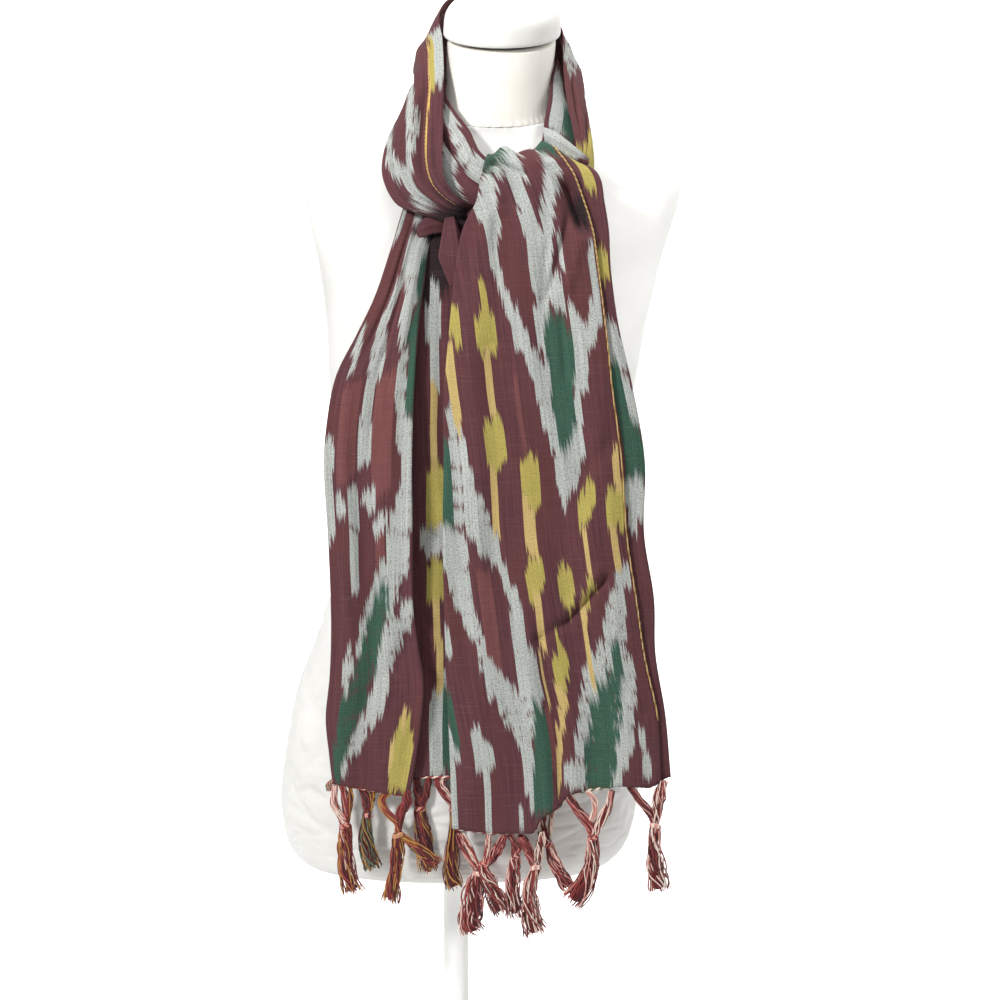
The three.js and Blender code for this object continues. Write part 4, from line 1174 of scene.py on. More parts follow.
INNER_TAIL = HangingTail(
    name="inner_tail",
    nodes=("scarf_inner_tail",),
    dye=Ikat("ikat_inner", INNER_CHART),
    flat=(0.185, 0.55),
    rests_on=("form_torso",),
    held="hung",
    rows=160,
    table=Table(HANGING, (
        (-80, 903, -10, 18),
        (-83, 884, -14, 17),
        (-90, 850, -34, 20),
        (-99, 800, -52, 30),
        (-107, 740, -62, 34),
        (-105, 660, -66, 36),
        (-102, 570, -68, 38),
        (-104, 480, -70, 40),
        (-107, 410, -70, 42),
        (-108, 358, -70, 44),
    )),
    folds=Folds((0.9, 0.0, 1.0), (0, 1), (50, 26), 3.4),
    measure=Measure.AXIS,
    foot=18.0,
    seed=17,
    dents=creases(
        (30, 560, 30, 260, 6, 3.0), (30, 260, 40, 120, 6, 2.6), (40, 266, 68, 246, 4, 3.2),
        (42, 236, 66, 240, 4, -2.2), (44, 176, 64, 158, 4, 3.0), (46, 150, 64, 138, 4, 2.4),
        (42, 124, 68, 104, 4, 3.0), (44, 330, 62, 318, 4, 2.0), (54, 500, 62, 300, 5, 2.2),
    ),
)
TUCK = HangingTail(
    name="throat_tuck",
    nodes=("scarf_tuck",),
    dye=Ikat("ikat_tuck", UNDYED),
    flat=(0.036, 0.055),
    rests_on=("scarf_left_drape",),
    rows=50,
    table=Table(HANGING, (
        (-98, 902, -5, 2),
        (-104, 888, -7.5, 6),
        (-109, 872, -10, 9.5),
        (-112, 862, -11, 11),
        (-114, 850, -6.5, 8),
        (-116, 835, -0.5, 3),
    )),
    folds=Folds((0.85, 0.0, 1.0), (0, 1), (18, 14), 3.0),
    chart_width=30.0,
    slack=0.3,
    rumple=0.2,
    seed=23,
)
HOOK_FOLD = Strand(
    name="hook_fold",
    nodes=(),
    dye=Ikat("ikat_hook", UNDYED),
    flat=(0.05, 0.038),
    rests_on=("scarf_left_tail",),
    rows=60,
    table=Table(STRAND, (
        (-4, -85, 905, -5, -87, 889, 1, 0),
        (-10, -86, 908, -10, -90, 887, 4, 0),
        (-19, -86, 907, -20, -91, 886, 5, 0),
        (-27, -85, 899, -29, -90, 883, 4, 0),
        (-32, -84, 891, -34, -88, 881, 2, 0),
    )),
    folds=Folds((0.0, 1.0, 0.1), (0, 1), (20, 12), 4.0),
    chart_width=22.0,
    slack=0.2,
    rumple=0.15,
    seed=47,
)
COLLAR = Strand(
    name="collar",
    nodes=("scarf_left_drape", "scarf_neck_back", "scarf_right_drape"),
    dye=Ikat("ikat_collar", COLLAR_CHART),
    flat=(0.14, 0.62),
    rests_on=("form_torso", "form_neck"),
    rows=300,
    table=Table(STRAND, (
        (26, -100, 908, 22, -100, 889, 1, 0),
        (8, -104, 916, -3, -99, 896, 3, 2),
        (-5, -102, 931, -33, -95, 905, 7, 4),
        (-9.5, -94, 948, -54, -86, 915, 9, 5),
        (-9.5, -80, 972, -66, -74, 941, 11, 6),
        (-9, -62, 1004, -63, -60, 970, 12, 7),
        (-9, -42, 1036, -51, -42, 996, 12, 5),
        (-11, -16, 1068, -41, -20, 1006, 12, 3),
        (-15, 8, 1091, -39, 10, 1005, 11, 1),
        (-5, 36, 1109, -34, 40, 1002, 8, 0),
        (19, 60, 1108, -14, 65.3, 993, 6, 0),
        (47, 69, 1100, 44, 80.2, 986, 6, 0),
        (78, 58, 1094, 104, 65.3, 992, 6, 0),
        (100, 32, 1087, 126, 40, 1002, 4, 0),
        (105, 4, 1073, 128, 6, 1004, 4, 0),
        (106, -24, 1044, 131, -26, 990, 5, 1),
        (109, -46, 1010, 134, -49, 972, 5, 2),
        (114, -64, 984, 135, -66, 955, 4, 1),
        (117, -76, 963, 133, -76, 941, 3, 0),
        (115, -84, 948, 128, -82, 928, 2, 0),
    )),
    folds=Folds((0.0, 1.0, 0.1), (0, 1), (60, 22)),
    slack=0.9,
    seed=29,
    dents=creases(
        (-4, 3, 84, 3, 15, 14.0), (6, 22, 12, 125, 5, 4.4), (16, 18, 17, 100, 4, -2.6),
        (27, 18, 29, 150, 5, 4.6), (37, 20, 37, 110, 5, -2.8), (46, 24, 52, 140, 5, 4.4),
        (56, 28, 64, 120, 5, -2.6), (66, 36, 74, 140, 5, 3.4), (46, 150, 66, 260, 5, 3.4),
        (30, 140, 34, 280, 5, -2.0), (10, 430, 30, 560, 5, 2.4), (40, 420, 60, 560, 6, -2.2),
        (56, 470, 40, 590, 4, 2.4),
    ),
)
CROSSING = Strand(
    name="crossing",
    nodes=("scarf_crossing",),
    dye=Ikat("ikat_crossing", CROSSING_CHART),
    flat=(0.047, 0.233),
    rests_on=("form_torso", "form_neck"),
    rows=120,
    table=Table(STRAND, (
        (108, -89, 934, 100, -93, 900, 1, 0),
        (80, -91, 938, 66, -94, 898, 1, 0),
        (50, -91, 944, 34, -94, 898, 2, 0),
        (27, -86.5, 960, 8, -90, 902, 3, 0),
        (16, -74, 981, -16, -77, 920, 3, 0),
        (3, -60, 998, -28, -64, 942, 3, 0),
        (-7, -42, 1014, -33, -50, 968, 2, 0),
        (-7.2, -17.4, 1030, -32, -28, 994, 1, 0),
        (-12.5, -2, 1046, -28, -4, 1012, 0, 0),
    )),
    chart_width=70.0,
    slack=0.6,
    rumple=0.35,
    seed=37,
    dents=creases((34, 66, 30, 150, 4, 2.6), (22, 80, 18, 200, 5, -1.6), (60, 70, 58, 140, 4, 2.0)),
)
RIGHT_INNER = Strand(
    name="right_inner",
    nodes=("scarf_right_inner",),
    dye=Ikat("ikat_right_inner", RIGHT_INNER_CHART),
    flat=(0.03, 0.113),
    rests_on=("form_torso", "form_neck"),
    rows=80,
    table=Table(STRAND, (
        (101, -6, 1050, 108, -6, 1034, 0, 0),
        (95, -23.5, 1034, 111, -24, 1012, 0, 0),
        (92, -40, 1012, 120, -42, 988, 1, 0),
        (88, -54, 992, 120, -55, 968, 1, 0),
        (86, -65, 976, 117, -66, 954, 1, 0),
        (84, -72, 966, 110, -74, 942, 0, 0),
    )),
    folds=Folds((0.0, 1.0), (0,), (36,)),
    chart_width=36.0,
    slack=0.4,
    rumple=0.2,
    seed=41,
)
WRAP = Strand(
    name="throat_roll",
    nodes=("scarf_wrap",),
    dye=Ikat("ikat_roll", ROLL_CHART),
    flat=(0.028, 0.052),
    rests_on=("scarf_front_tail",),
    rows=60,
    table=Table(STRAND, (
        (129, -90, 955, 129, -92, 951, 0, 0),
        (120, -90, 962, 120, -95, 955, 2, 0),
        (110, -90, 970, 110, -97, 959, 3, 0),
        (98, -88, 979, 98, -96, 966, 3, 0),
        (86, -83, 984, 87, -88, 973, 1, 0),
    )),
    folds=Folds((0.0, 1.0, 0.1), (0, 1), (20, 12), 4.0),
    chart_width=16.0,
    slack=0.2,
    rumple=0.15,
    seed=43,
)
UNDER_CROSS = Strand(
    name="under_cross",
    nodes=("scarf_under_cross",),
    dye=Ikat("ikat_under", UNDYED),
    flat=(0.034, 0.134),
    rests_on=("form_torso",),
    rows=50,
    table=Table(STRAND, (
        (120, -67.5, 934, 124, -71.5, 912, 0, 0),
        (90, -68.5, 932, 92, -73.5, 900, 0, 0),
        (55, -68.5, 930, 52, -73.5, 892, 0, 0),
        (22, -67.5, 926, 12, -72.5, 890, 0, 0),
        (-6, -66.5, 922, -14, -70.5, 894, 0, 0),
    )),
    folds=Folds((0.0, 1.0), (0,), (16,)),
    chart_width=40.0,
    slack=0.0,
    rumple=0.1,
    seed=47,
)


@dataclass(frozen=True)
class Scarf:
    """The whole scarf: two hanging tails, what hangs between them, and the strands round the neck."""

    front_tail: HangingTail = FRONT_TAIL
    left_tail: HangingTail = LEFT_TAIL
    inner_tail: HangingTail = INNER_TAIL
    tuck: HangingTail = TUCK
    hook_fold: Strand = HOOK_FOLD
    collar: Strand = COLLAR
    crossing: Strand = CROSSING
    right_inner: Strand = RIGHT_INNER
    wrap: Strand = WRAP
    under_cross: Strand = UNDER_CROSS

    def build(self, fringe: dict[str, list[Object]]) -> None:
        """Makes every stretch.

        Args:
            fringe: The fringe and edges that go with each stretch, by its name.
        """
        for stretch in vars(self).values():
            stretch.build(fringe.get(stretch.name, []))


# ---------------------------------------------------------------- fringe


class Yarn(Enum):
    """The colours of the fringe's yarns."""

    RED = "8f3835"
    DEEP = "541d20"
    CREAM = "e8d2c4"
    PINK = "cf948a"
    GOLD = "b8863f"
    STRAW = "c4a873"
    FAWN = "94763f"
    GREEN = "5d6b52"


@dataclass
class Bundle:
    """Yarns gathered for one mesh: their points, faces and colours."""

    points: list = field(default_factory=list)
    faces: list = field(default_factory=list)
    colours: list = field(default_factory=list)
    count: int = 0

    def lay(self, paths: Array, radius: Array | float, yarns: Sequence[Yarn], sides: int) -> None:
        """Adds a tube along each path.

        Args:
            paths: Yarns by points by three, in millimetres.
            radius: Radii that fit yarns by points, in millimetres.
            yarns: Each path's yarn.
            sides: Sides of the yarns' round section.
        """
        points, faces = tubes(paths, radius, sides)
        colours = np.array([linear(yarn.value) for yarn in yarns])
        walls, middles = (np.repeat(colours, times, axis=0) for times in (paths.shape[1] * sides, 2))
        self.points.append(points * MM)
        self.faces.extend([[corner + self.count for corner in face] for face in faces])
        self.colours += [walls, middles]
        self.count += len(points)

    def make(self, name: str, material: Material) -> Object:
        """Makes the mesh of all the yarns, with their colours as an attribute."""
        piece = make_mesh(name, np.vstack(self.points), self.faces, material)
        attribute = piece.data.color_attributes.new(YARN_COLOUR, "FLOAT_COLOR", "POINT")
        rgba = np.hstack([np.vstack(self.colours), np.ones((self.count, 1))])
        attribute.data.foreach_set("color", rgba.astype(np.float32).ravel())
        return piece


def twisted(path: Array, radius: float, pitch: float, plies: int) -> Array:
    """Plies twisted round a path: path + r (cos(a) side + sin(a) up), where a grows by a turn in each pitch.

    Args:
        path: Points by three, in millimetres.
        radius: How far each ply's middle is from the path.
        pitch: Length of a full turn.
        plies: How many plies share the turn.

    Returns:
        Plies by points by three.
    """
    ahead = unit(np.gradient(path, axis=0))
    side = unit(np.cross(ahead, [0.0, 1.0, 0.0]))
    up = np.cross(side, ahead)
    angle = 2 * math.pi * (along_path(path) / pitch + np.arange(plies)[:, None] / plies)[..., None]
    return path + radius * (np.cos(angle) * side + np.sin(angle) * up)


@dataclass(frozen=True)
class Rope:
    """Loose parallel yarns that run together: x, z and half-thickness along their way, and their colours.

    The core is a share of the half-thickness, and fill is how many yarns of one thickness go round it.
    """

    path: tuple[tuple[float, float, float], ...]
    yarns: tuple[Yarn, ...]
    frayed: bool = False
    turns: float = 0.35
    thick: float = 0.55
    swell: float = 1.25
    flat: float = 0.75
    core: float = 0.6
    fill: float = 4.6
    fewest: int = 7
    most: int = 34

    def lay(self, bundle: Bundle, y: float, rng: np.random.Generator) -> None:
        """Lays a core and yarns round it, each at its own angle and distance from the middle of the way.

        A yarn's angle turns and wavers along the rope, and so does its distance, which spreads towards the
        end of a frayed rope. A frayed rope's yarns stop at different lengths.

        Args:
            bundle: What the yarns are added to.
            y: The way's Y, in millimetres.
            rng: Its unevenness.
        """
        n = 12 + 5 * len(self.path)
        s = np.linspace(0.0, 1.0, n)
        row = Table("x z r", self.path).at(s)
        way = np.stack([row["x"], np.full(n, y), row["z"]], -1)
        r = self.swell * row["r"]
        ahead = unit(np.gradient(way, axis=0))
        side = np.stack([ahead[:, 2], np.zeros(n), -ahead[:, 0]], -1)
        front = np.array([0.0, -self.flat, 0.0])
        # The core is always of the deep red yarn, whatever the rope's own colours: painted shade in the gaps
        # between its yarns.
        bundle.lay(way[None, : n - 2], self.core * r[None, : n - 2], (Yarn.DEEP,), 7)
        count = int(np.clip(round(self.fill * r.mean() / self.thick), self.fewest, self.most))
        each = (count, 1)
        around = 2 * math.pi * (np.arange(count) + rng.uniform(-0.4, 0.4, count)) / count
        reach = rng.uniform(0.6, 1.0, count)[:, None]
        waver = 0.4 * np.sin(7 * s + rng.uniform(0, 6, each))
        angle = around[:, None] + 2 * math.pi * self.turns * s + waver
        wave = 1.0 + 0.16 * np.sin(rng.uniform(9, 16, each) * s + rng.uniform(0, 6, each))
        loose = wave + 0.2 * self.frayed * smoothstep(s, 0.5, 1.0) * rng.uniform(-1, 1, each)
        wide, deep = ((reach * r * loose * f(angle))[..., None] for f in (np.cos, np.sin))
        paths = way + wide * side + deep * front
        stop = rng.uniform(0.93, 1.0, each) if self.frayed else np.ones(each)
        place = np.clip(s * stop, 0, 1) * (n - 1)
        low = np.minimum(place.astype(int), n - 2)
        rest = (place - low)[..., None]
        yarn = np.arange(count)[:, None]
        paths = paths[yarn, low] * (1 - rest) + paths[yarn, low + 1] * rest
        radius = 1.05 * self.thick * rng.uniform(0.8, 1.25, each) * np.ones(n)
        colours = np.repeat(np.arange(len(self.yarns)), 1 + count // len(self.yarns))
        bundle.lay(paths, radius, [self.yarns[k] for k in rng.permutation(colours)[:count]], 4)


@dataclass(frozen=True)
class Tassel:
    """One tassel: its Y, the knot of a few turns where its ropes meet, and the ropes, in millimetres.

    The knot is its x, its z and its radius. Its turns tilt and are flattened by shares of the radius, and
    wind down by a millimetre in as many radians as their pitch.
    """

    y: float
    knot: tuple[float, float, float]
    tie: Yarn
    ropes: tuple[Rope, ...]
    turns: float = 2.7
    rise: float = 1.4
    tilt: float = 0.35
    depth: float = 0.85
    pitch: float = 6.0
    points: int = 44

    def build(self, name: str, node: str, material: Material, seed: int) -> Object:
        """Makes the ropes and the knot as one mesh.

        Args:
            name: The piece's name.
            node: The solid that it stands for.
            material: The yarns' finish.
            seed: Seed of its unevenness.

        Returns:
            The piece.
        """
        rng = np.random.default_rng(seed)
        bundle = Bundle()
        for rope in self.ropes:
            rope.lay(bundle, self.y, rng)
        x, z, r = self.knot
        angle = 2 * math.pi * np.linspace(0.0, self.turns, self.points)
        tilt = self.tilt * r * np.sin(angle + rng.uniform(0, 6))
        deep, high = self.y - self.depth * r * np.sin(angle), z + self.rise - angle / self.pitch + tilt
        coil = np.stack([x + r * np.cos(angle), deep, high], -1)
        plies = twisted(coil, radius=0.6, pitch=5.0, plies=2)
        bundle.lay(plies, radius=1.15, yarns=(self.tie, Yarn.PINK), sides=6)
        return on_body(bundle.make(name, material), "fringe_yarn", node)


RED, DEEP, CREAM, PINK, GOLDEN, MOSS = Yarn.RED, Yarn.DEEP, Yarn.CREAM, Yarn.PINK, Yarn.GOLD, Yarn.GREEN
REDS = (RED, DEEP, RED, PINK)
MIXED = (RED, CREAM, RED, DEEP, PINK)
PALE = (CREAM, PINK, CREAM, RED)
FLAME = (RED, GOLDEN, DEEP, GOLDEN)
LEFT_Y, INNER_Y, FRONT_Y = -116.0, -106.0, -124.0
TASSELS = {
    LEFT_TAIL.name: (
        Tassel(LEFT_Y, (-105.5, 311.5, 4.4), RED, (
            Rope(((-115, 352, 2.2), (-115.5, 333, 2.8), (-109.5, 321, 2.8), (-105, 311, 2.6)), PALE),
            Rope(((-108, 352, 2.4), (-105, 337, 3), (-104, 323, 3), (-105, 311, 2.6)), REDS),
            Rope(((-101, 350, 1.6), (-100, 338, 2), (-103, 322, 2), (-105, 311, 2)), FLAME),
            Rope(((-117, 357, 1), (-121, 352, 2.4), (-121, 346, 1.6)), (DEEP, MOSS, PINK), True),
            Rope(
                ((-105.5, 313, 4), (-105, 297, 5.8), (-105, 278, 6), (-102, 260, 7), (-98, 243, 8.5)),
                (RED, DEEP, GOLDEN, RED, RED, CREAM), True,
            ),
        )),
        Tassel(LEFT_Y + 4.5, (-84, 321, 3.4), DEEP, (
            Rope(((-90, 351, 2), (-86, 339, 3), (-84, 322, 2.6)), (DEEP, RED, DEEP)),
            Rope(((-78, 350, 2), (-80, 338, 2.4), (-84, 322, 2.4)), (DEEP, GOLDEN, DEEP)),
            Rope(
                ((-84, 324, 3), (-86, 304, 5), (-83, 284, 6.5), (-78, 266, 7)),
                (MOSS, DEEP, MOSS, GOLDEN), True,
            ),
        )),
        Tassel(LEFT_Y, (-54, 302, 4.6), GOLDEN, (
            Rope(
                ((-60, 348, 2.4), (-69, 339, 2.8), (-66, 327, 2.8), (-55, 314, 2.6), (-54, 304, 2.4)),
                (GOLDEN, GOLDEN, RED),
            ),
            Rope(((-45, 347, 3), (-46, 334, 3.8), (-52, 322, 3.2), (-54, 305, 2.8)), (RED, RED, DEEP)),
            Rope(
                ((-54, 304, 4), (-55, 290, 5.4), (-56, 272, 5.6), (-59, 254, 6), (-63, 234, 7.5)),
                (RED, GOLDEN, RED, DEEP, GOLDEN), True,
            ),
            Rope(
                ((-51, 302, 2.4), (-38, 291, 3.4), (-26, 280, 5.5), (-17, 270, 7.5)),
                (GOLDEN, RED, DEEP, GOLDEN), True,
            ),
        )),
    ),
    INNER_TAIL.name: (
        Tassel(INNER_Y, (-33, 325, 4), RED, (
            Rope(((-36, 357, 2.4), (-35, 342, 3), (-33, 326, 3)), (DEEP, RED, DEEP)),
            Rope(((-24, 357, 2.2), (-27, 342, 3), (-33, 326, 2.8)), (RED, DEEP)),
            Rope(
                ((-33, 328, 4), (-31, 308, 5.4), (-28, 288, 6.4), (-24, 262, 7)),
                (DEEP, RED, DEEP, GOLDEN), True,
            ),
        )),
        Tassel(INNER_Y, (0, 326, 3.6), RED, (
            Rope(((-10, 358, 1.8), (-11, 349, 2.4), (-6, 341, 2.4), (1, 330, 2.2)), PALE),
            Rope(((-18, 357, 1.8), (-12, 343, 2.2), (0, 328, 2)), REDS),
            Rope(
                ((0, 330, 3), (0, 306, 4.6), (-2, 282, 6.2), (-3, 262, 7.4), (1, 244, 8)),
                (DEEP, RED, GOLDEN, PINK, DEEP), True,
            ),
        )),
    ),
    FRONT_TAIL.name: (
        Tassel(FRONT_Y, (24.5, 268, 4.4), CREAM, (
            Rope(((8, 306, 2), (17, 288, 2.4), (24, 270, 2.6)), PALE),
            Rope(((4, 306, 1.6), (9, 292, 2), (22, 270, 2.2)), REDS),
            Rope(
                ((24, 268, 4), (20, 252, 7.5), (19, 236, 9), (16, 220, 9), (19, 205, 10)),
                (RED, DEEP, CREAM, RED, PINK), True,
            ),
        )),
        Tassel(FRONT_Y - 1.5, (29, 275.5, 3.6), RED, (
            Rope(((50, 305, 2.2), (42, 289, 4.2), (30, 275, 3.4)), REDS),
            Rope(((34, 305, 1.8), (33, 290, 2.2), (29, 276, 2.2)), PALE),
            Rope(((28, 277, 3.6), (32, 262, 6.5), (40, 246, 7.5), (47, 225, 8)), MIXED, True),
        )),
        Tassel(FRONT_Y + 3, (60, 283, 3.6), DEEP, (
            Rope(((54, 305, 2.2), (60, 294, 3), (60, 283, 2.8)), (DEEP, RED, PINK)),
            Rope(((66, 304, 2), (64, 294, 2.6), (60, 283, 2.6)), REDS),
            Rope(((60, 284, 3.4), (58, 268, 5.4), (57, 250, 5.8), (60, 219, 7.5)), MIXED, True),
        )),
        Tassel(FRONT_Y, (79.5, 271.5, 4.2), CREAM, (
            Rope(((66, 303, 2.6), (72, 290, 3.8), (79, 273, 3)), REDS),
            Rope(((86, 308, 2.6), (84, 292, 3.4), (80, 273, 3)), (DEEP, RED, CREAM)),
            Rope(
                ((79.5, 272, 3.6), (75, 256, 5.4), (74, 240, 6.6), (76, 222, 8.5), (81, 203, 10)),
                (RED, CREAM, PINK, DEEP, RED, CREAM), True,
            ),
        )),
        Tassel(FRONT_Y + 8, (92, 293, 3.2), RED, (
            Rope(((88, 328, 1.8), (87, 310, 2.4), (92, 293, 2.8)), (DEEP, CREAM, RED)),
            Rope(((97, 332, 1.6), (94, 314, 2), (92, 293, 2.4)), (CREAM, MOSS, RED)),
            Rope(
                ((92, 294, 3), (97, 278, 4.4), (104, 263, 5.4), (113, 248, 6.5)),
                (RED, CREAM, DEEP, PINK), True,
            ),
        )),
        Tassel(FRONT_Y, (135, 301.5, 4.4), RED, (
            Rope(((110, 345, 2.2), (119, 330, 3.6), (131, 315, 3.6), (134.5, 303, 3)), REDS),
            Rope(((153, 349, 2.2), (149.5, 332, 3.2), (140.5, 315, 3.4), (135.5, 303, 3)), MIXED),
            Rope(((129, 349, 1.6), (136.5, 340, 2.2), (137, 328, 2.2), (133, 318, 1.8)), (CREAM, PINK)),
            Rope(
                ((135, 302, 4.2), (134.5, 286, 5), (133, 270, 6), (127, 254, 7.5), (112, 236, 10)),
                (RED, RED, DEEP, CREAM, PINK), True,
            ),
        )),
        Tassel(FRONT_Y, (195.3, 313.5, 4.2), CREAM, (
            Rope(((170, 353, 2), (180, 339, 3), (191, 325, 3), (195, 314, 2.6)), (DEEP, RED, PINK)),
            Rope(((203, 359, 3.2), (199, 343, 4.6), (197, 327, 3.8), (195.5, 314, 2.8)), MIXED),
            Rope(
                ((195, 314, 3.6), (194.5, 297, 5), (195.5, 280, 7), (197.5, 264, 8.5), (200, 247, 8)),
                MIXED, True,
            ),
        )),
    ),
}


@dataclass(frozen=True)
class Fringe:
    """The knotted warp ends along the hems, the whipped edges between them, and the gold selvedges.

    A selvedge is marked by places along and across on its stretch's chart.
    """

    material: Material
    tail_selvedge: Sequence[tuple[float, float]] = ((112, 0), (664, 0))
    collar_selvedge: Sequence[tuple[float, float]] = (
        (24, 22.5), (50, 21.5), (130, 21.5), (150, 20), (170, 21.5), (196, 21.5), (214, 19.5), (236, 17),
    )

    def cord(self, name: str, way: Array, radius: float, plies: Sequence[Yarn]) -> Object:
        """Makes a cord of a few plies along a way, in millimetres, that turn once in nine of its radii."""
        bundle = Bundle()
        paths = twisted(way, radius=0.5 * radius, pitch=9 * radius, plies=len(plies))
        bundle.lay(paths, radius=1.05 * radius, yarns=plies, sides=5)
        return on_body(bundle.make(name, self.material), "fringe_yarn")

    def build(self, scarf: Scarf) -> dict[str, list[Object]]:
        """Makes the tassels, the whipped edges and the selvedges.

        Args:
            scarf: The stretches that they follow.

        Returns:
            The pieces that go with each stretch, by its name.
        """
        made: dict[str, list[Object]] = {scarf.collar.name: []}
        hung = [(stretch, tassel) for stretch, tassels in TASSELS.items() for tassel in tassels]
        for k, (stretch, tassel) in enumerate(hung, 1):
            piece = tassel.build(f"fringe_{k:02d}", f"tassel_{k:02d}", self.material, 100 + k)
            made.setdefault(stretch, []).append(piece)
        edges = (
            (scarf.left_tail, -115, -46, (RED, PINK)),
            (scarf.inner_tail, -34, 10, (CREAM, RED)),
            (scarf.front_tail, 2, 88, (CREAM, RED)),
            (scarf.front_tail, 88, 202, (CREAM, MOSS)),
        )
        for k, (tail, left, right, plies) in enumerate(edges, 1):
            made[tail.name].append(self.cord(f"whipped_edge_{k}", tail.hem_line(left, right), 1.0, plies))
        for name, stretch, marks, radius in (
            ("selvedge", scarf.front_tail, self.tail_selvedge, 0.6),
            ("collar_selvedge", scarf.collar, self.collar_selvedge, 0.5),
        ):
            made[stretch.name].append(self.cord(name, stretch.seam(marks), radius, (Yarn.FAWN, Yarn.STRAW)))
        LOG.info("fringe: %d tassels, %d edges, 2 selvedges", len(hung), len(edges))
        return made


# ---------------------------------------------------------------- form and stand


def closed_rings(rings: Array) -> tuple[Array, list[list[int]]]:
    """Joins rings of points, from the lowest up, and closes each end with a fan to its middle.

    Args:
        rings: Rings by points by three.

    Returns:
        The points and the faces, which point outwards where the rings run anticlockwise from above.
    """
    count, n, _ = rings.shape
    i = np.arange(n)
    j = (i + 1) % n
    last, low = (count - 1) * n, count * n
    fans = np.stack([np.full(n, low), j, i, np.full(n, low + 1), last + i, last + j], -1)
    points = np.vstack([rings.reshape(-1, 3), rings[0].mean(0), rings[-1].mean(0)])
    return points, grid_faces(count, n, wrap=True).tolist() + fans.reshape(-1, 3).tolist()


def outward(rings: Array) -> Array:
    """Each point's level direction away from the middle of its ring."""
    out = rings - rings.mean(1, keepdims=True)
    out[..., 2] = 0.0
    return unit(out)


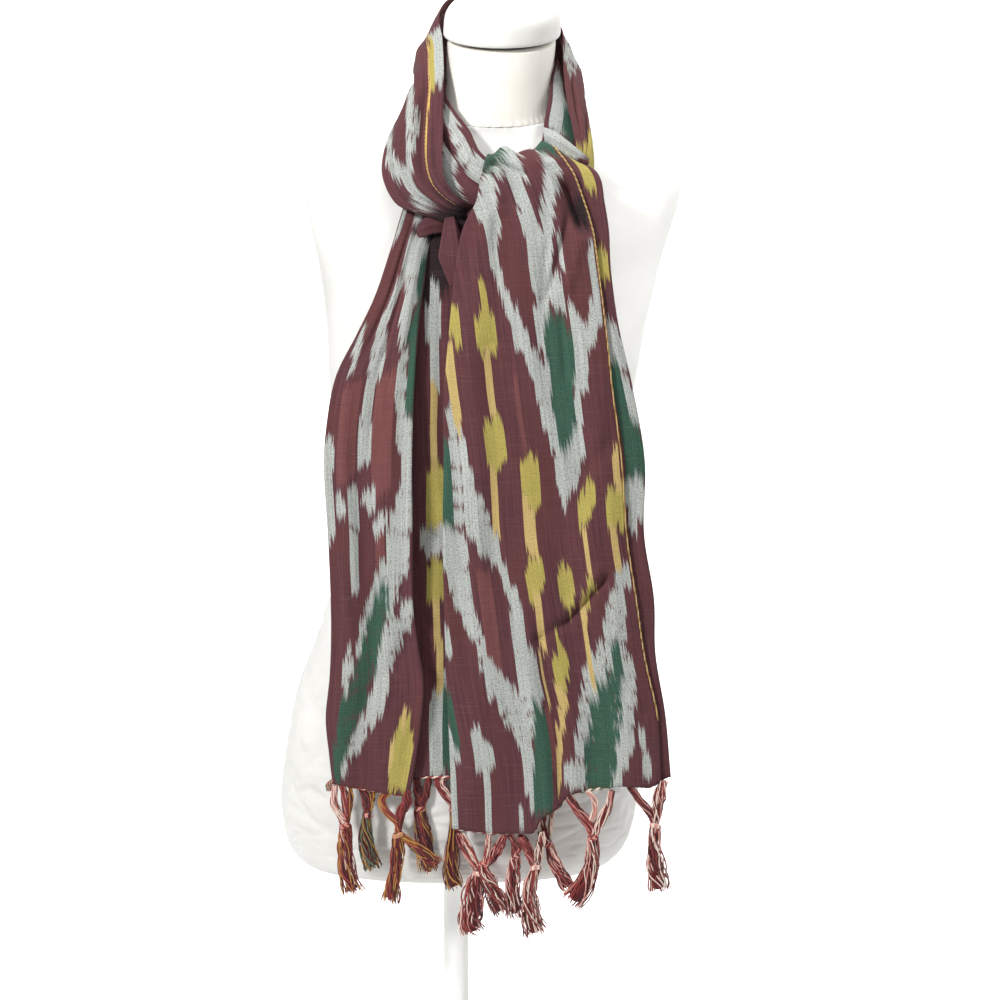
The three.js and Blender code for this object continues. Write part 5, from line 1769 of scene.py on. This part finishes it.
@dataclass
class DressForm:
    """The padded form: a torso cut off at thighs and arms, a neck, and a turned cap with a dark groove."""

    TORSO_COVER = CoverFinish("form_cover", "e2e1de", "d3d2ce")
    NECK_COVER = CoverFinish("neck_cover", "f7f4ec", "ece7dc")
    CAP = PaintFinish("cap_lacquer", "f3f2ee", "e8e6e0", 0.3, 0.42)
    GROOVE = PaintFinish("groove_shadow", "3c4340", "2c3130", 0.6, 0.75)

    lean: float = 0.056
    bottom: float = 240.0
    squareness: float = 2.3
    sides: int = 240
    cap_sides: int = 96
    cap_rows: int = 60
    groove_rows: int = 12
    torso_rows: int = 250
    neck_rows: int = 40
    crowding: float = 1.3
    cap_base: float = 1070.0
    cap_slope: float = 0.25
    cap_middle: float = -7.0
    girth_scale: float = 150.0
    hips_begin: tuple[float, float] = (244.0, 275.0)
    hips_end: tuple[float, float] = (470.0, 560.0)
    quilted_end: tuple[float, float] = (250.0, 262.0)
    quilt_pitch: float = 5.0
    hip_folds: tuple[Crease, ...] = creases(
        (516, 410, 544, 420, 3, 2.6), (543, 420, 572, 408, 3, 2.8), (553, 403, 582, 400, 2.6, 1.8),
        (532, 453, 560, 446, 2.6, 1.6), (564, 440, 590, 438, 2.6, 1.4), (562, 425, 590, 424, 2.6, 1.5),
        (526, 430, 548, 420, 2.6, 1.6), (546, 329, 568, 337, 3, 3.4), (566, 337, 594, 326, 3, 3.6),
        (590, 327, 616, 318, 3, 2.6), (528, 338, 548, 323, 2.8, 2.8), (546, 324, 570, 309, 2.8, 2.4),
        (560, 309, 604, 290, 3, 2.2), (590, 302, 628, 288, 2.8, 1.8), (536, 376, 566, 366, 4, 1.6),
        (580, 366, 620, 372, 4, 1.4),
    )
    torso: Table = Table("z half front back slope", (
        (240, 132, 70, 80, 0),
        (247, 154, 85, 97, 0),
        (264, 170, 95, 110, 0),
        (290, 178, 100, 118, 0),
        (325, 181, 101, 121, 0),
        (370, 178, 101, 118, 0),
        (430, 168, 98, 107, 0),
        (500, 146, 88, 91, 0),
        (570, 127, 80, 79, 0),
        (640, 134, 86, 81, 0),
        (700, 146, 97, 86, 0),
        (750, 153, 101, 91, 0),
        (800, 159, 94, 95, 0),
        (850, 168, 82, 97, 0),
        (900, 180, 69, 93, 0),
        (932, 182, 61, 84, 0.02),
        (950, 160, 57, 78, 0.06),
        (968, 122, 54, 73, 0.12),
        (985, 84, 52, 66, 0.22),
        (999.7, 62, 53, 58, 0.3),
    ))
    neck: Table = Table("z half front back slope", (
        (1000, 58, 54, 54, 0.3),
        (1010, 54, 54, 50, 0.3),
        (1032, 52.5, 56, 47, 0.28),
        (1064, 53, 60, 46, 0.25),
        (1068, 52, 59, 45, 0.25),
        (1069.7, 47, 54, 40, 0.25),
    ))
    cap: Table = Table(
        "rise radius",
        ((3, 46), (3.2, 53.5), (5, 56.4), (10, 57), (24, 56), (34, 50), (41, 38), (45, 18), (45.4, 3)),
    )
    groove: Table = Table("rise radius", ((0.2, 44), (0.6, 46), (1.6, 46), (2.7, 46), (2.9, 44)))

    def body_rings(self, table: Table, rows: int) -> tuple[Array, Array, Array]:
        """Rings of two half superellipses on the leaning axis, tilted about X by each row's slope.

        x = half |cos a|^(2/n), y = depth |sin a|^(2/n), each with its own sign. A crowding over 1 sets the
        rings closer together low down, where the puckers are.

        Args:
            table: The sections.
            rows: How many rings.

        Returns:
            The rings in millimetres, each point's angle and each ring's share of the table.
        """
        t = np.linspace(0.0, 1.0, rows) ** self.crowding
        row = table.at(t)
        angle = 2 * math.pi * np.arange(self.sides) / self.sides
        c, s = np.cos(angle), np.sin(angle)
        power = 2 / self.squareness
        x = np.sign(c) * np.abs(c) ** power * row["half"][:, None]
        deep = np.where(s < 0, row["front"][:, None], row["back"][:, None])
        y = np.sign(s) * np.abs(s) ** power * deep
        z = row["z"][:, None] + row["slope"][:, None] * y
        x = x + ((row["z"] - self.bottom) * self.lean)[:, None]
        return np.stack([x, y, z], -1), angle, t

    def cap_rings(self, table: Table, rows: int) -> Array:
        """Round rings of the cap on the neck's tilted axis."""
        row = table.at(np.linspace(0.0, 1.0, rows))
        angle = 2 * math.pi * np.arange(self.cap_sides) / self.cap_sides
        z = self.cap_base + row["rise"][:, None]
        x = row["radius"][:, None] * np.cos(angle) + (z - self.bottom) * self.lean
        y = row["radius"][:, None] * np.sin(angle) + self.cap_middle
        return np.stack([x, y - self.cap_slope * row["rise"][:, None], z + self.cap_slope * y], -1)

    def make_piece(self, name: str, rings: Array, finish: Finish, slot: str, *nodes: str) -> Object:
        """Makes one closed piece of the form.

        Args:
            name: The piece's name.
            rings: Its rings, in millimetres.
            finish: Its finish.
            slot: The finish's slot; not used.
            nodes: The solids that it stands for.

        Returns:
            The piece.
        """
        points, faces = closed_rings(rings * MM)
        piece = on_body(make_mesh(name, points, faces, finish.make()), slot, *nodes)
        LOG.info("%s: %d points", name, len(points))
        return piece

    def puff(self, high: Array, angle: Array) -> Array:
        """How far the padding swells, in millimetres: the puckers on the hips, and slack cloth all over.

        Two soft noises without their sign make sharp valleys between rounded bumps. The lowest edge is
        quilted in level ribs. The hip folds are laid at one side of the front, in girth and height, and
        mirrored to the other side and to the back.

        Args:
            high: The points' heights.
            angle: Their angles.

        Returns:
            A distance for each point, outwards.
        """
        girth = angle * self.girth_scale + np.zeros_like(high)
        hips = smoothstep(high, *self.hips_begin) * (1 - smoothstep(high, *self.hips_end))
        wide = girth + 9 * soft_noise(girth, high, (45.0, 30.0), 8)
        rise = high + 7 * soft_noise(wide, high, (34.0, 40.0), 9)
        long = np.minimum(np.abs(soft_noise(wide, rise, (33.0, 12.0), 5)), 0.4)
        short = np.minimum(np.abs(soft_noise(wide, rise, (15.0, 6.5), 6)), 0.45)
        slack = soft_noise(wide, high, (60.0, 34.0), 7)
        rib = np.cos(2 * math.pi * high / self.quilt_pitch)
        quilted = (1 - smoothstep(high, *self.quilted_end)) * rib
        puff = hips * (4.0 * long + 2.0 * short - 2.3) + slack + 0.3 * quilted
        half_round = math.pi * self.girth_scale
        for fold in self.hip_folds:
            for way, start in ((1, 0), (-1, 3), (-1, 2), (1, -1)):
                puff = puff - fold.pressed(way * (girth - start * half_round), high)
        return puff

    def gathered(self, angle: Array, t: Array) -> Array:
        """How far the neck's cover draws in above its seam, in millimetres.

        A wave round the neck, whose pitch changes on the way, fades upwards as exp(-t / fade).

        Args:
            angle: The points' angles.
            t: The rings' shares of the neck.

        Returns:
            A distance for each point, inwards.
        """
        gathers, drift, drifts, fade, depth, flattest = 46, 1.3, 7, 0.09, 0.7, -0.2
        wave = np.sin(angle * gathers + drift * np.sin(angle * drifts)) * np.exp(-t[:, None] / fade)
        return depth * np.maximum(wave, flattest)

    def build(self) -> Object:
        """Makes the torso, the neck, the cap and its groove, and returns the torso."""
        rings, angle, t = self.body_rings(self.torso, self.torso_rows)
        ends = smoothstep(t, 0.0, 0.04) * (1 - smoothstep(t, 0.96, 1.0))
        rings = rings + outward(rings) * (self.puff(rings[..., 2], angle) * ends[:, None])[..., None]
        torso = self.make_piece("torso_cover", rings, self.TORSO_COVER, "form_cover", "form_torso")
        rings, angle, t = self.body_rings(self.neck, self.neck_rows)
        rings = rings - outward(rings) * self.gathered(angle, t)[..., None]
        self.make_piece("neck_cover", rings, self.NECK_COVER, "neck_cover", "form_neck")
        cap = self.cap_rings(self.cap, self.cap_rows)
        groove = self.cap_rings(self.groove, self.groove_rows)
        self.make_piece("neck_cap", cap, self.CAP, "cap_lacquer", "form_neck_cap")
        self.make_piece("cap_groove", groove, self.GROOVE, "cap_lacquer")
        return torso


class Stand:
    """The stand under the form, whose solids keep their shape and get a powder coat."""

    NODES = ("stand_foot", "stand_pole", "stand_collar")

    def dress(self) -> None:
        """Gives the stand's solids their finish."""
        paint = PaintFinish("stand_paint", "f7f7f5", "eeeeeb", 0.38, 0.5).make()
        for name in self.NODES:
            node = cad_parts[name]
            node.data.materials.clear()
            node.data.materials.append(paint)
        LOG.info("stand: %d pieces", len(self.NODES))


@dataclass
class Studio:
    """A pale sweep of floor and wall, soft lights and the camera. Its lengths are in metres.

    The sweep's glow falls off between two places in X on either side, and begins between two in Y. A lamp
    has a name, a place, the length of its side and its watts.
    """

    aim: Place = (0.045, 0.0, 0.615)
    distance: float = 2.6
    tilt: float = 8.0
    lens: float = 93.6
    glow: float = 0.9
    beside: tuple[float, float] = (2.0, 1.3)
    behind: tuple[float, float] = (-0.25, 0.4)
    side: float = 7.0
    front: float = 6.0
    turn: float = 2.4
    height: float = 5.0
    sky: float = 0.25
    lamps: tuple[tuple[str, Place, float, float], ...] = (
        ("key", (-1.7, -2.1, 2.3), 0.45, 92.0),
        ("fill", (0.9, -2.9, 1.1), 1.4, 6.0),
        ("top", (0.05, -0.5, 2.5), 1.0, 18.0),
        ("rim", (1.4, 0.3, 2.1), 0.8, 22.0),
    )

    def camera(self) -> None:
        """Sets the camera, which looks along +Y and down by the tilt."""
        data = bpy.data.cameras.new("view")
        data.lens = self.lens
        data.sensor_width = 36.0
        data.clip_end = 50.0
        eye = bpy.data.objects.new("view", data)
        tilt = math.radians(self.tilt)
        back = self.distance * np.array([0.0, -math.cos(tilt), math.sin(tilt)])
        eye.location = np.array(self.aim) + back
        eye.rotation_euler = (math.pi / 2 - tilt, 0.0, 0.0)
        bpy.context.scene.collection.objects.link(eye)
        bpy.context.scene.camera = eye

    def sweep(self) -> None:
        """A floor that turns up into a wall: a line, a quarter circle and a line, carried along X.

        It glows behind and beside the form, out to a little past the view, so that it is white there.
        """
        angle = np.linspace(0.0, math.pi / 2, 24)
        y = np.concatenate([[-self.front], self.turn + np.sin(angle), [self.turn + 1.0]])
        z = np.concatenate([[0.0], 1.0 - np.cos(angle), [self.height]])
        x = np.array([-self.side, self.side])
        points = np.stack(np.broadcast_arrays(x[None, :], y[:, None], z[:, None]), -1)
        paint = PaintFinish("sweep_paint", "dededd", "dadad9", 0.9, 0.95, 40.0).make()
        piece = make_mesh("sweep", points, grid_faces(*points.shape[:2]).tolist(), paint)
        nodes, links = paint.node_tree.nodes, paint.node_tree.links
        shader = nodes["Principled BSDF"]
        shader.inputs["Emission Color"].default_value = WHITE
        place, aside = nodes.new("ShaderNodeSeparateXYZ"), nodes.new("ShaderNodeMath")
        aside.operation = "ABSOLUTE"
        links.new(nodes.new("ShaderNodeTexCoord").outputs["Object"], place.inputs[0])
        links.new(place.outputs["X"], aside.inputs[0])
        middle, lit = nodes.new("ShaderNodeMapRange"), nodes.new("ShaderNodeMapRange")
        for node, value, (low, high) in (
            (middle, aside.outputs[0], self.beside),
            (lit, place.outputs["Y"], self.behind),
        ):
            node.inputs["From Min"].default_value = low
            node.inputs["From Max"].default_value = high
            links.new(value, node.inputs["Value"])
        middle.inputs["To Max"].default_value = self.glow
        links.new(middle.outputs["Result"], lit.inputs["To Max"])
        links.new(lit.outputs["Result"], shader.inputs["Emission Strength"])

    def lamp(
        self, name: str, place: Place, size: float, watts: float,
        aim: Optional[Place] = None, spread: float = 180.0,
    ) -> Object:
        """A square soft light at a place, turned to the form, or to another aim.

        Args:
            name: The lamp's name.
            place: Where it stands.
            size: The length of its side.
            watts: Its power.
            aim: What it is turned to.
            spread: How wide its light goes, in degrees.

        Returns:
            The lamp.
        """
        data = bpy.data.lights.new(name, "AREA")
        data.size = size
        data.energy = watts
        data.spread = math.radians(spread)
        lamp = bpy.data.objects.new(name, data)
        lamp.location = place
        away = np.array(place) - np.array(aim or self.aim)
        flat = math.hypot(away[0], away[1])
        lamp.rotation_euler = (math.atan2(flat, away[2]), 0.0, math.atan2(away[0], -away[1]))
        bpy.context.scene.collection.objects.link(lamp)
        return lamp

    def card(self, piece: Object) -> None:
        """A white card close by on the right, whose light is kept off all but this piece."""
        lit = bpy.data.collections.new("lit_by_card")
        lit.objects.link(piece)
        card = self.lamp("card", (0.75, -0.9, 1.35), 0.5, 0.9, aim=(0.21, -0.05, 0.93), spread=56.0)
        card.light_linking.receiver_collection = lit

    def build(self) -> None:
        """Makes the camera, the sweep and the lights."""
        self.camera()
        self.sweep()
        world = bpy.data.worlds.new("studio")
        world.use_nodes = True
        sky = world.node_tree.nodes["Background"].inputs
        sky["Color"].default_value = WHITE
        sky["Strength"].default_value = self.sky
        bpy.context.scene.world = world
        for name, place, size, watts in self.lamps:
            self.lamp(name, place, size, watts)
        bpy.context.scene.view_settings.view_transform = "Standard"
        LOG.info("studio: camera, sweep and %d lights on all of it", len(self.lamps))


def main() -> None:
    """Builds the studio, the form and the scarf in order."""
    logging.basicConfig(level=logging.INFO, format="%(name)s: %(message)s")
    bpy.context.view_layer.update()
    studio = Studio()
    studio.build()
    studio.card(DressForm().build())
    Stand().dress()
    scarf = Scarf()
    scarf.build(Fringe(YarnFinish().make()).build(scarf))


if __name__ == "__main__":
    main()
